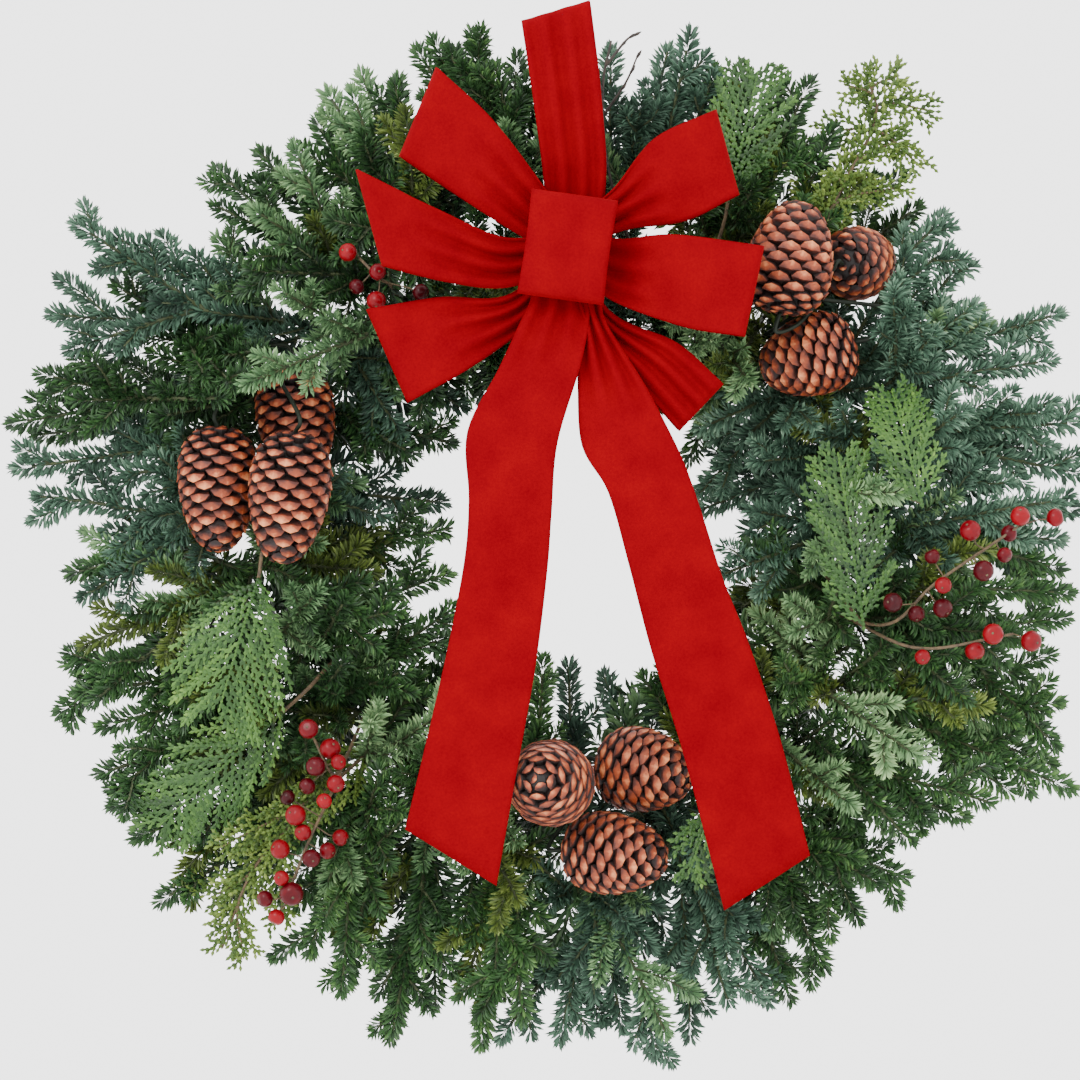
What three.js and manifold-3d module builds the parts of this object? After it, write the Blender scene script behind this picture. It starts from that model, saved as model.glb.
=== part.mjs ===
// Fresh evergreen wreath on a wire ring, hung upright, with pine cones, berries and a ribbon bow.
// Millimetres, +Z up, +X to the viewer's right, the front faces -Y.
// Every place in the lists below is [x, z, forward], measured from the ring's centre: x to the right,
// z up, and forward towards the viewer from the plane of the two rails.
// The finished group is lowered so that its origin is the point where the ring hangs on its hook.

import * as THREE from 'three';
import { mergeVertices } from 'three/addons/utils/BufferGeometryUtils.js';
import Module from 'manifold-3d';

const wasm = await Module();
wasm.setup();
const { Manifold } = wasm;

// Ring frame
const OUTER_RAIL = 203;
const INNER_RAIL = 171;
const RAIL_WIRE = 4;
const RAIL_SIDES = 5;
const RAIL_SEGMENTS = 24;
const RAIL_FRONT = (RAIL_WIRE / 2) * Math.sin((2 * Math.PI) / RAIL_SIDES);
const HANG_HEIGHT = OUTER_RAIL - RAIL_WIRE / 2;
const CLAMPS = 8;
const STRAP_WIDTH = 10;
const STRAP_THICK = 1.6;
const WELD = 0.4;
const PRONG_RISE = 17;

// Clearances
const GAP = 0.3;
const SEAT_GAP = 0.45;
const CLEAR = 1.2;
const BACK_PLANE = RAIL_WIRE / 2 + STRAP_THICK;

// When pieces are joined: the largest loose scrap in cubic millimetres, and the smallest edge kept
const SCRAP = 20;
const SMALLEST = 0.25;

// Boughs
const BOUGHS = 24;
const BOUGH_PITCH = 360 / BOUGHS;
const FIRST_SEAT = -5;
const STEM_RADIUS = 3;
const BUTT_ARC = 6;
const NEEDLE = 19;
const NEEDLE_TILTS = [52, 38];
const NEEDLE_STEP = 23;
const NEEDLE_RADIUS = 1.2;
const BARE_STEP = 60;
const CORE_RADIUS = 2.3;
const TIP_BUD = 9;
const LEADER_NEEDLED = 84;
const SIDE_NEEDLED = 60;
const INNER_NEEDLED = 52;
const FRONT_NEEDLED = 48;

// Ribbon
const RIBBON_THICK = 1.6;
const FOLD_RADIUS = 5;
const PINCH = 0.28;

const COLOURS = {
  steel: 0x3c443d,
  wire: 0x44503f,
  fir: 0x3f6349,
  blueFir: 0x5c8272,
  cedar: 0x6c9a4f,
  juniper: 0x7c8a45,
  bark: 0x5a4333,
  cone: 0x8d5238,
  berry: 0xb3182c,
  velvet: 0xc40010,
};

const wreath = new THREE.Group();
wreath.position.z = -HANG_HEIGHT;

// Places and directions
const at = (x, z, forward) => new THREE.Vector3(x, -forward, z);
const onRing = (degrees, radius, forward) => {
  const turn = THREE.MathUtils.degToRad(degrees);
  return at(radius * Math.sin(turn), radius * Math.cos(turn), forward);
};
const FORWARD = at(0, 0, 1);

// A repeatable random draw for each named piece
function drawsFor(name) {
  let state = 7;
  for (const letter of name) state = (state * 31 + letter.charCodeAt(0)) % 2147483647;
  return () => {
    state = (state * 48271) % 2147483647;
    return state / 2147483647;
  };
}

// Space that is already taken, kept as short thick lines. Each belongs to a node, and in a bough
// also to one of its shoots, so that a needle keeps clear of its own bough's other shoots.
const taken = [];

function take(node, points, radius, owner = node) {
  for (let i = 0; i + 1 < points.length; i += 1) {
    const [a, b] = [points[i], points[i + 1]];
    const middle = a.clone().add(b).multiplyScalar(0.5);
    taken.push({ node, owner, a, b, radius, middle, reach: a.distanceTo(b) / 2 + radius });
  }
}

function lineDistance(p1, q1, p2, q2) {
  const d1 = [q1.x - p1.x, q1.y - p1.y, q1.z - p1.z];
  const d2 = [q2.x - p2.x, q2.y - p2.y, q2.z - p2.z];
  const r = [p1.x - p2.x, p1.y - p2.y, p1.z - p2.z];
  const dot = (u, v) => u[0] * v[0] + u[1] * v[1] + u[2] * v[2];
  const [a, e, f, b, c] = [dot(d1, d1), dot(d2, d2), dot(d2, r), dot(d1, d2), dot(d1, r)];
  const spread = a * e - b * b;
  let s = spread > 1e-9 ? THREE.MathUtils.clamp((b * f - c * e) / spread, 0, 1) : 0;
  const t = THREE.MathUtils.clamp((b * s + f) / Math.max(e, 1e-9), 0, 1);
  s = THREE.MathUtils.clamp((b * t - c) / Math.max(a, 1e-9), 0, 1);
  return Math.hypot(...[0, 1, 2].map((k) => r[k] + d1[k] * s - d2[k] * t));
}

function room(whose, a, b, radius, wanted) {
  const middle = a.clone().add(b).multiplyScalar(0.5);
  const reach = a.distanceTo(b) / 2 + radius;
  let least = wanted;
  for (const other of taken) {
    if (other.node === whose || other.owner === whose) continue;
    if (middle.distanceTo(other.middle) - reach - other.reach > least) continue;
    least = Math.min(least, lineDistance(a, b, other.a, other.b) - radius - other.radius);
  }
  return least;
}

function pathRoom(node, points, radius, wanted) {
  let least = wanted;
  for (let i = 0; i + 1 < points.length; i += 1) {
    least = Math.min(least, room(node, points[i], points[i + 1], radius, least));
  }
  return least;
}

// Solids and meshes
function solidOf(geometry) {
  const bare = geometry.clone();
  bare.deleteAttribute('normal');
  bare.deleteAttribute('uv');
  const merged = mergeVertices(bare, 1e-4);
  const solid = new Manifold(new wasm.Mesh({
    numProp: 3,
    vertProperties: Float32Array.from(merged.attributes.position.array),
    triVerts: Uint32Array.from(merged.index.array),
  }));
  if (solid.volume() <= 0) throw new Error('a solid is inside out');
  return solid;
}

function geometryOf(solid) {
  const mesh = solid.getMesh();
  const geometry = new THREE.BufferGeometry();
  geometry.setAttribute('position', new THREE.BufferAttribute(mesh.vertProperties, 3));
  geometry.setIndex(new THREE.BufferAttribute(mesh.triVerts, 1));
  return geometry;
}

const whereIs = (solid) => solid.boundingBox().min.map((value) => value.toFixed(0)).join(' ');

// One body from many: they are joined, and a loose scrap or a sealed hollow is dropped
function fuse(geometries) {
  const joined = Manifold.union(geometries.map(solidOf));
  const bodies = joined.decompose().sort((a, b) => b.volume() - a.volume());
  const [body, scrap] = bodies;
  if (scrap && scrap.volume() > SCRAP) throw new Error(`a loose body at ${whereIs(scrap)}`);
  return geometryOf(body.simplify(SMALLEST));
}

function addMesh(name, geometry, colour, roughness = 0.7, metalness = 0) {
  const material = new THREE.MeshStandardMaterial({ color: colour, roughness, metalness });
  const mesh = new THREE.Mesh(geometry, material);
  mesh.name = name;
  wreath.add(mesh);
}

// A round rod along a smooth line through some points
function rod(points, radius, sides, steps) {
  const section = new THREE.Shape();
  for (let i = 0; i < sides; i += 1) {
    const turn = (i / sides) * Math.PI * 2;
    const corner = [radius * Math.cos(turn), radius * Math.sin(turn)];
    if (i === 0) section.moveTo(...corner);
    else section.lineTo(...corner);
  }
  const path = new THREE.CatmullRomCurve3(points);
  return new THREE.ExtrudeGeometry(section, { steps, bevelEnabled: false, extrudePath: path });
}

// Ring frame: two rails with clamp straps behind them, each strap's ends rising as prongs
function strapDegrees(index) {
  const slot = Math.round(((index + 0.5) * BOUGHS) / CLAMPS);
  return FIRST_SEAT + slot * BOUGH_PITCH + (BOUGH_PITCH - BUTT_ARC) / 2;
}

// One clamp: a strip bent to a square U, its base behind the rails and its arms outside them
function clampStrap(degrees) {
  const inner = INNER_RAIL - RAIL_WIRE;
  const outer = OUTER_RAIL + RAIL_WIRE;
  const front = PRONG_RISE;
  const seat = WELD - RAIL_WIRE / 2;
  const outline = new THREE.Shape([
    [inner, -BACK_PLANE], [outer, -BACK_PLANE], [outer, front], [outer - STRAP_THICK, front],
    [outer - STRAP_THICK, seat], [inner + STRAP_THICK, seat], [inner + STRAP_THICK, front], [inner, front],
  ].map(([radius, forward]) => new THREE.Vector2(radius, forward)));
  const clamp = new THREE.ExtrudeGeometry(outline, { depth: STRAP_WIDTH, bevelEnabled: false });
  clamp.translate(0, 0, -STRAP_WIDTH / 2);
  const turn = THREE.MathUtils.degToRad(degrees);
  const radial = at(Math.sin(turn), Math.cos(turn), 0);
  const along = new THREE.Vector3().crossVectors(radial, FORWARD);
  return clamp.applyMatrix4(new THREE.Matrix4().makeBasis(radial, FORWARD, along));
}

function ringFrame() {
  const rails = [OUTER_RAIL, INNER_RAIL].map((radius) => {
    const rail = new THREE.TorusGeometry(radius, RAIL_WIRE / 2, RAIL_SIDES, RAIL_SEGMENTS);
    return rail.rotateX(Math.PI / 2);
  });
  const straps = [];
  for (let i = 0; i < CLAMPS; i += 1) {
    const degrees = strapDegrees(i);
    straps.push(clampStrap(degrees));
    for (const radius of [INNER_RAIL - RAIL_WIRE, OUTER_RAIL + RAIL_WIRE]) {
      take('ring_frame', [onRing(degrees, radius, 0), onRing(degrees, radius, PRONG_RISE)], 4);
    }
  }
  for (let i = 0; i < 72; i += 1) {
    for (const radius of [OUTER_RAIL, INNER_RAIL]) {
      take('ring_frame', [onRing(i * 5, radius, 0), onRing(i * 5 + 5, radius, 0)], RAIL_WIRE / 2);
    }
  }
  addMesh('ring_frame', fuse([...rails, ...straps]), COLOURS.steel, 0.45, 0.8);
}

// The end of a stem or wire that lies along the front of a rail, clear of it by the gap
function buttOnRail(degrees, rail, radius, arc = BUTT_ARC) {
  const forward = RAIL_FRONT + SEAT_GAP + radius;
  return [0, 0.5, 1].map((t) => onRing(degrees - arc * (1 - t), rail, forward));
}

// Pine cone: staggered rings of scales, each scale a diamond raised to a blunt point
function cone(name, base, tip, width) {
  const RINGS = 7;
  const SCALES = 6;
  const axis = tip.clone().sub(base);
  const length = axis.length();
  const along = axis.clone().normalize();
  const across = new THREE.Vector3().crossVectors(along, FORWARD).normalize();
  const up = new THREE.Vector3().crossVectors(across, along);
  const profile = (t) => (width / 2) * Math.sqrt(Math.sin(Math.PI * (0.12 + 0.85 * t ** 0.72)));
  const point = (t, turn, grow) => {
    const radius = profile(t) * 0.8 + grow;
    return base.clone()
      .addScaledVector(along, t * length)
      .addScaledVector(across, radius * Math.cos(turn))
      .addScaledVector(up, radius * Math.sin(turn));
  };
  const corners = [];
  const faces = [];
  const turnOf = (ring, j) => ((j + (ring % 2) / 2) / SCALES) * Math.PI * 2;
  for (let ring = 0; ring <= RINGS; ring += 1) {
    for (let j = 0; j < SCALES; j += 1) corners.push(point(ring / RINGS, turnOf(ring, j), 0));
  }
  const corner = (ring, j) => ring * SCALES + ((j + SCALES) % SCALES);
  for (let ring = 1; ring < RINGS; ring += 1) {
    for (let j = 0; j < SCALES; j += 1) {
      const shift = ring % 2;
      const left = corner(ring, j);
      const right = corner(ring, j + 1);
      const below = corner(ring - 1, j + shift);
      const above = corner(ring + 1, j + shift);
      const boss = corners.length;
      corners.push(point((ring - 0.35) / RINGS, turnOf(ring, j + 0.5), width * 0.13));
      faces.push([below, left, boss], [right, below, boss], [above, right, boss], [left, above, boss]);
    }
  }
  for (let j = 0; j < SCALES; j += 1) {
    faces.push([corner(0, j + 1), corner(0, j), corner(1, j)]);
    faces.push([corner(RINGS, j), corner(RINGS, j + 1), corner(RINGS - 1, j + (RINGS % 2))]);
  }
  const baseCentre = corners.length;
  corners.push(base.clone());
  const tipCentre = corners.length;
  corners.push(tip.clone().addScaledVector(along, width * 0.05));
  for (let j = 0; j < SCALES; j += 1) {
    faces.push([corner(0, j), corner(0, j + 1), baseCentre]);
    faces.push([corner(RINGS, j + 1), corner(RINGS, j), tipCentre]);
  }
  addMesh(name, closedMesh(corners, faces), COLOURS.cone, 0.75);
  for (let i = 0; i < 6; i += 1) {
    const [near, far] = [i / 6, (i + 1) / 6];
    const size = Math.max(profile(near), profile(far)) * 0.8 + width * 0.13 + 2;
    take(name, [base.clone().lerp(tip, near), base.clone().lerp(tip, far)], size);
  }
}

function closedMesh(corners, faces) {
  const geometry = new THREE.BufferGeometry().setFromPoints(corners);
  geometry.setIndex(faces.flat());
  return geometry;
}

// Wire of a group of cones: a tail along the rail, a stalk to the middle of the group, and a leg
// to each cone, which comes to its base from behind
const WIRE_RADIUS = 1.5;
const LEG_RUN_IN = 14;

function coneWire(name, seat, around, middle, ends) {
  const butt = buttOnRail(seat, INNER_RAIL, WIRE_RADIUS, 5);
  const tail = [...butt, ...around, middle];
  const legs = ends.map(({ base, along, via }) => {
    const end = base.clone().addScaledVector(along, -GAP - 0.1);
    const before = base.clone().addScaledVector(along, -LEG_RUN_IN);
    return [middle, ...via, before, end];
  });
  const rods = [rod(tail, WIRE_RADIUS, 4, 7), ...legs.map((leg) => rod(leg, WIRE_RADIUS, 3, leg.length))];
  addMesh(name, fuse(rods), COLOURS.wire, 0.5, 0.6);
  for (const line of [tail, ...legs]) take(name, new THREE.CatmullRomCurve3(line).getPoints(8), 2);
}

// Each cone is [name, base, tip, widest, where its wire leg passes]
const CONE_GROUPS = [
  {
    wire: 'cone_wire_left', seat: 296, around: [[-176, 112, 25], [-206, 132, 24]], middle: [-212, 138, 62],
    cones: [
      ['cone_left_top', [-190, 124, 57], [-181, 42, 62], 54],
      ['cone_left_outer', [-240, 80, 86], [-239, -6, 92], 55],
      ['cone_left_inner', [-184, 76, 122], [-194, -14, 118], 56],
    ],
  },
  {
    wire: 'cone_wire_right', seat: 40, around: [[122, 132, 20]], middle: [182, 170, 88],
    cones: [
      ['cone_right_top', [153, 160, 118], [168, 236, 112], 60, [166, 152, 108]],
      ['cone_right_low', [206, 140, 84], [142, 120, 84], 56, [232, 163, 76]],
      ['cone_right_side', [198, 195, 88], [226, 198, 18], 50],
    ],
  },
  {
    wire: 'cone_wire_bottom', seat: 177, around: [[3, -178, 24]], middle: [12, -186, 64],
    cones: [
      ['cone_bottom_left', [0, -170, 92], [-16, -164, 165], 58],
      ['cone_bottom_right', [30, -156, 62], [90, -165, 92], 58],
      ['cone_bottom_low', [5, -215, 84], [73, -221, 110], 56],
    ],
  },
];

function coneGroup({ wire, seat, around, middle, cones }) {
  const ends = cones.map(([name, base, tip, width, ...via]) => {
    const [from, to] = [at(...base), at(...tip)];
    cone(name, from, to, width);
    return { base: from, along: to.clone().sub(from).normalize(), via: via.map((place) => at(...place)) };
  });
  coneWire(wire, seat, around.map((place) => at(...place)), at(...middle), ends);
}

// Ribbon strip through rows of [left edge, right edge], thickened along its own normal
function ribbonStrip(rows, crown = 0) {
  const middles = rows.map(([left, right]) => left.clone().lerp(right, 0.5));
  const corners = [];
  rows.forEach(([left, right], i) => {
    const tangent = middles[Math.min(i + 1, rows.length - 1)].clone().sub(middles[Math.max(i - 1, 0)]);
    const normal = new THREE.Vector3().crossVectors(tangent, right.clone().sub(left)).normalize();
    const half = normal.clone().multiplyScalar(RIBBON_THICK / 2);
    const middle = middles[i].clone().addScaledVector(normal, crown);
    const across = crown > 0 ? [left, middle, right] : [left, right];
    for (const side of [half, half.clone().negate()]) {
      for (const place of across) corners.push(place.clone().add(side));
    }
  });
  const columns = crown > 0 ? 3 : 2;
  const spans = [...Array(columns - 1).keys()];
  const faces = [];
  const quad = (a, b, c, d) => faces.push([a, c, b], [a, d, c]);
  for (let i = 0; i + 1 < rows.length; i += 1) {
    const [near, far] = [i * 2 * columns, (i + 1) * 2 * columns];
    for (const k of spans) {
      quad(near + k, near + k + 1, far + k + 1, far + k);
      quad(near + columns + k, far + columns + k, far + columns + k + 1, near + columns + k + 1);
    }
    quad(near + columns, near, far, far + columns);
    quad(near + columns - 1, near + 2 * columns - 1, far + 2 * columns - 1, far + columns - 1);
  }
  const last = (rows.length - 1) * 2 * columns;
  for (const k of spans) {
    quad(k + 1, k, k + columns, k + columns + 1);
    quad(last + k, last + k + 1, last + k + columns + 1, last + k + columns);
  }
  return closedMesh(corners, faces);
}

function takeRibbon(name, rows) {
  for (const [left, right] of rows) take(name, [left, right], 9);
}

// Points at equal shares along a smooth edge given by a few [x, z]
function edgeLine(points, count) {
  const curve = new THREE.CatmullRomCurve3(points.map(([x, z]) => at(x, z, 0)));
  return curve.getPoints(count - 1);
}

// Bow loop: a ribbon doubled back on itself, flat under the knot and puffed towards its outer fold.
// Its two edges run from under the knot outwards. depth is its level there, lean is how far its
// outer end stands forward, and puff is how far its two layers part.
const LOOPS = [
  ['bow_loop_top', 143.6, -4, 15,
    [[-8, 188], [-11, 246], [-18, 302], [-26, 356]], [[18, 188], [31, 246], [28, 309], [21, 370]]],
  ['bow_loop_lower_left', 147.6, -5, 15,
    [[4, 208], [-35, 171], [-84, 169], [-129, 162]], [[4, 182], [-22, 150], [-60, 122], [-101, 99]]],
  ['bow_loop_lower_right', 147.6, -5, 15,
    [[5, 208], [35, 159], [80, 138], [109, 113]], [[5, 182], [26, 146], [54, 110], [79, 81]]],
  ['bow_loop_upper_left', 151.6, -4, 17,
    [[4, 222], [-12, 246], [-46, 291], [-82, 325]], [[4, 196], [-28, 212], [-72, 240], [-107, 264]]],
  ['bow_loop_upper_right', 151.6, -4, 17,
    [[5, 222], [36, 243], [64, 278], [103, 297]], [[5, 196], [42, 215], [86, 222], [119, 238]]],
  ['bow_loop_mid_left', 155.6, 24, 19,
    [[4, 215], [-38, 210], [-84, 229], [-136, 254]], [[4, 190], [-38, 176], [-80, 180], [-118, 189]]],
  ['bow_loop_mid_right', 155.6, 22, 19,
    [[5, 215], [41, 209], [77, 212], [135, 204]], [[5, 190], [36, 167], [84, 149], [122, 142]]],
];

function bowLoop([name, depth, lean, puff, upperEdge, lowerEdge]) {
  const STEPS = 6;
  const upper = edgeLine(upperEdge, STEPS);
  const lower = edgeLine(lowerEdge, STEPS);
  const halfGap = RIBBON_THICK / 2 + 0.2;
  const layer = (i, side) => {
    const open = Math.max(0, (i / (STEPS - 1) - PINCH) / (1 - PINCH));
    const part = halfGap + (puff / 2) * Math.sin(open * Math.PI * 0.62) ** 2;
    const rise = depth + lean * open * open + side * part;
    return [upper[i], lower[i]].map((edge) => at(edge.x, edge.z, rise));
  };
  const rows = [];
  for (let i = 0; i < STEPS; i += 1) rows.push(layer(i, 1));
  const [front, back] = [layer(STEPS - 1, 1), layer(STEPS - 1, -1)];
  const outward = [upper, lower].map((edge) => edge[STEPS - 1].clone().sub(edge[STEPS - 2]).normalize());
  for (const share of [0.25, 0.5, 0.75]) {
    rows.push([0, 1].map((k) => front[k].clone().lerp(back[k], (1 - Math.cos(share * Math.PI)) / 2)
      .addScaledVector(outward[k], FOLD_RADIUS * Math.sin(share * Math.PI))));
  }
  for (let i = STEPS - 1; i >= 0; i -= 1) rows.push(layer(i, -1));
  addMesh(name, ribbonStrip(rows), COLOURS.velvet, 0.85);
  takeRibbon(name, rows);
}

// Bow tails: rows of [left x, left z, right x, right z, forward]
const TAILS = {
  bow_tail_left: [
    [-16, 200, 14, 200, 162.4], [-20, 168, 18, 168, 162.4], [-28, 150, 20, 155, 165], [-42, 120, 14, 122, 171],
    [-64, 76, -2, 68, 178], [-63, 30, -6, 20, 176], [-66, -12, -9, -20, 170], [-78, -75, -17, -85, 164],
    [-93, -140, -30, -158, 164], [-107, -198, -44, -237, 168],
  ],
  bow_tail_right: [
    [2, 200, 28, 198, 158.6], [6, 168, 28, 166, 158.8], [12, 150, 33, 148, 162.5], [12, 108, 58, 108, 168],
    [15, 66, 82, 62, 170], [33, 34, 96, 24, 176], [47, -15, 112, -25, 172], [63, -76, 130, -70, 166],
    [86, -150, 152, -137, 164], [113, -254, 172, -216, 168],
  ],
};

function bowTail(name) {
  const rows = TAILS[name].map(([lx, lz, rx, rz, forward]) => [at(lx, lz, forward), at(rx, rz, forward)]);
  addMesh(name, ribbonStrip(rows, 1.5), COLOURS.velvet, 0.85);
  takeRibbon(name, rows);
}

// Knot: a square of ribbon wrapped round the middle of the bow, a little puffed
const KNOT = { centre: [5, 203], size: [60, 74], back: 165.5, front: 190, turn: -8 };

function bowKnot() {
  const { centre, size, back, front, turn } = KNOT;
  const block = new THREE.BoxGeometry(size[0], front - back, size[1], 4, 1, 4);
  const places = block.attributes.position;
  for (let i = 0; i < places.count; i += 1) {
    const [u, w] = [places.getX(i) / size[0], places.getZ(i) / size[1]];
    if (places.getY(i) < 0) {
      places.setXYZ(i, u * size[0] * 0.94, places.getY(i) + 26 * (u ** 2 + w ** 2), w * size[1] * 0.94);
    }
  }
  block.rotateY(THREE.MathUtils.degToRad(-turn));
  const middle = at(...centre, (front + back) / 2);
  block.translate(middle.x, middle.y, middle.z);
  addMesh('bow_knot', fuse([block]), COLOURS.velvet, 0.85);
}

// Tie wire: from the inner rail forward, across behind the loops, and back to the rail
function bowTieWire() {
  const radius = 1.5;
  const across = LOOPS[0][1] - RIBBON_THICK - 0.2 - GAP - radius - 0.3;
  const [left, right] = [buttOnRail(-4, INNER_RAIL, radius, 5), buttOnRail(12, INNER_RAIL, radius, 5)];
  const line = [...left, at(-8, 172, 22), at(-7, 190, 90), at(-6, 205, across - 4), at(5, 207, across),
    at(14, 205, across - 4), at(17, 190, 90), at(18, 172, 22), ...right.reverse()];
  addMesh('bow_tie_wire', rod(line, radius, 4, 18), COLOURS.wire, 0.5, 0.6);
  take('bow_tie_wire', new THREE.CatmullRomCurve3(line).getPoints(24), radius + 0.5);
}

// Smooth branch: leaves its start along a direction and arrives at its tip
function branchLine(start, leaving, tip, arch, steps = 8, lift = 1) {
  const length = start.distanceTo(tip);
  const heading = leaving.clone().setY(leaving.y * lift).normalize();
  const first = start.clone().addScaledVector(heading, length * 0.33);
  const second = start.clone().lerp(tip, 0.68).addScaledVector(FORWARD, arch);
  return new THREE.CubicBezierCurve3(start, first, second, tip).getPoints(steps);
}

// The same branch tried with its tip moved a little nearer or further out, kept where it has most room
const TRIES = [0, 10, -10, 20, -20, 30, -30, 40, -40];

function roomyLine(node, radius, lineFor) {
  const wanted = radius + 9;
  let [best, bestRoom] = [null, -Infinity];
  for (const lift of [1, 0.45, 0.15]) {
    for (const push of TRIES) {
      for (const swing of [0, 8, -8]) {
        const line = lineFor(push, swing, lift);
        const price = (Math.abs(push) + Math.abs(swing)) * 0.02 + (1 - lift) * 0.5;
        const free = [line[0].clone().lerp(line[1], 0.4), ...line.slice(1)];
        const found = pathRoom(node, free, radius, wanted) - price;
        if (found > bestRoom) [best, bestRoom] = [line, found];
      }
    }
  }
  return best;
}

function moved(tip, push, swing) {
  const along = new THREE.Vector3(tip.z, 0, -tip.x).normalize();
  const spot = tip.clone().addScaledVector(FORWARD, push).addScaledVector(along, swing);
  spot.y = Math.min(spot.y, -CORE_RADIUS);
  return spot;
}

// Where the rings of a shoot's core stand: one at each fork, one where its needles begin and one
// at its end, with the spans between them split evenly
function shootStops(length, bare, step, forks) {
  const marks = [0, bare, length];
  for (const fork of forks) {
    if (marks.every((mark) => Math.abs(mark - fork) > 4)) marks.push(fork);
  }
  marks.sort((a, b) => a - b);
  const stops = [];
  for (let m = 0; m + 1 < marks.length; m += 1) {
    const span = marks[m + 1] - marks[m];
    const bearing = marks[m] >= bare;
    const parts = Math.max(1, bearing ? Math.round(span / step) : Math.ceil(span / BARE_STEP));
    for (let i = 0; i < parts; i += 1) stops.push({ stop: marks[m] + (span * i) / parts, bearing });
  }
  stops.push({ stop: length, bearing: true });
  return stops;
}

// Needled shoot: a slim three-sided core, turned a sixth at each ring, with a needle raised from
// every face of its last stretch. A needle that has no room stays down. forks are the points of its
// line where other shoots leave it.
function shoot(node, owner, line, {
  needled, forks = [], needle = NEEDLE, step = NEEDLE_STEP, radius = CORE_RADIUS,
}) {
  const curve = new THREE.CatmullRomCurve3(line);
  const length = curve.getLength();
  const corners = [];
  const faces = [];
  let normal = new THREE.Vector3(0.31, 0.83, 0.47);
  const bare = Math.max(10, length - needled);
  const along = [0];
  for (let i = 1; i < line.length; i += 1) along.push(along[i - 1] + line[i].distanceTo(line[i - 1]));
  const forkStops = forks.map((i) => along[i]);
  const rings = shootStops(length, bare, step, forkStops).map(({ stop, bearing }, k) => {
    const share = Math.min(stop / length, 1);
    const tangent = curve.getTangentAt(share).normalize();
    normal = normal.clone().addScaledVector(tangent, -normal.dot(tangent)).normalize();
    const side = new THREE.Vector3().crossVectors(tangent, normal);
    const middle = curve.getPointAt(share);
    const width = radius * (k === 0 ? 0.5 : 1.15 - 0.55 * share);
    for (let j = 0; j < 3; j += 1) {
      const turn = ((j + (k % 2) / 2) / 3) * Math.PI * 2;
      corners.push(middle.clone().addScaledVector(normal, width * Math.cos(turn))
        .addScaledVector(side, width * Math.sin(turn)));
    }
    return { middle, tangent, bearing, full: needle * (1 - 0.35 * share ** 4) };
  });
  const raise = (face, ring, tilt) => {
    const root = face.reduce((sum, c) => sum.add(corners[c]), new THREE.Vector3()).divideScalar(3);
    const out = root.clone().sub(ring.middle);
    out.addScaledVector(ring.tangent, -out.dot(ring.tangent)).normalize();
    const turn = THREE.MathUtils.degToRad(tilt);
    const lean = out.multiplyScalar(Math.cos(turn)).addScaledVector(ring.tangent, Math.sin(turn));
    const reach = ring.bearing ? needleRoom(node, owner, root, lean, ring.full) : 0;
    if (reach === 0) {
      faces.push(face);
      return;
    }
    const apex = corners.length;
    corners.push(root.clone().addScaledVector(lean, reach));
    for (let e = 0; e < 3; e += 1) faces.push([face[e], face[(e + 1) % 3], apex]);
  };
  const corner = (k, j) => k * 3 + ((j + 3) % 3);
  for (let k = 0; k + 1 < rings.length; k += 1) {
    for (let j = 0; j < 3; j += 1) {
      const ahead = corner(k + 1, j + (k % 2));
      const beyond = corner(k + 1, j + 1 + (k % 2));
      raise([corner(k, j), corner(k, j + 1), ahead], rings[k], NEEDLE_TILTS[0]);
      raise([corner(k, j + 1), beyond, ahead], rings[k], NEEDLE_TILTS[1]);
    }
  }
  const last = rings.length - 1;
  const tip = corners.length;
  corners.push(rings[last].middle.clone().addScaledVector(rings[last].tangent, TIP_BUD));
  faces.push([corner(0, 2), corner(0, 1), corner(0, 0)]);
  for (let j = 0; j < 3; j += 1) faces.push([corner(last, j), corner(last, j + 1), tip]);
  return closedMesh(corners, faces);
}

function needleRoom(node, owner, root, lean, full) {
  for (const share of [1, 0.75, 0.5]) {
    const start = root.clone().addScaledVector(lean, 3);
    const end = root.clone().addScaledVector(lean, full * share);
    if (end.y > BACK_PLANE - 1) continue;
    if (room(owner, start, end, NEEDLE_RADIUS, CLEAR) >= CLEAR) {
      take(node, [start, end], NEEDLE_RADIUS, owner);
      return full * share;
    }
  }
  return 0;
}

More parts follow.
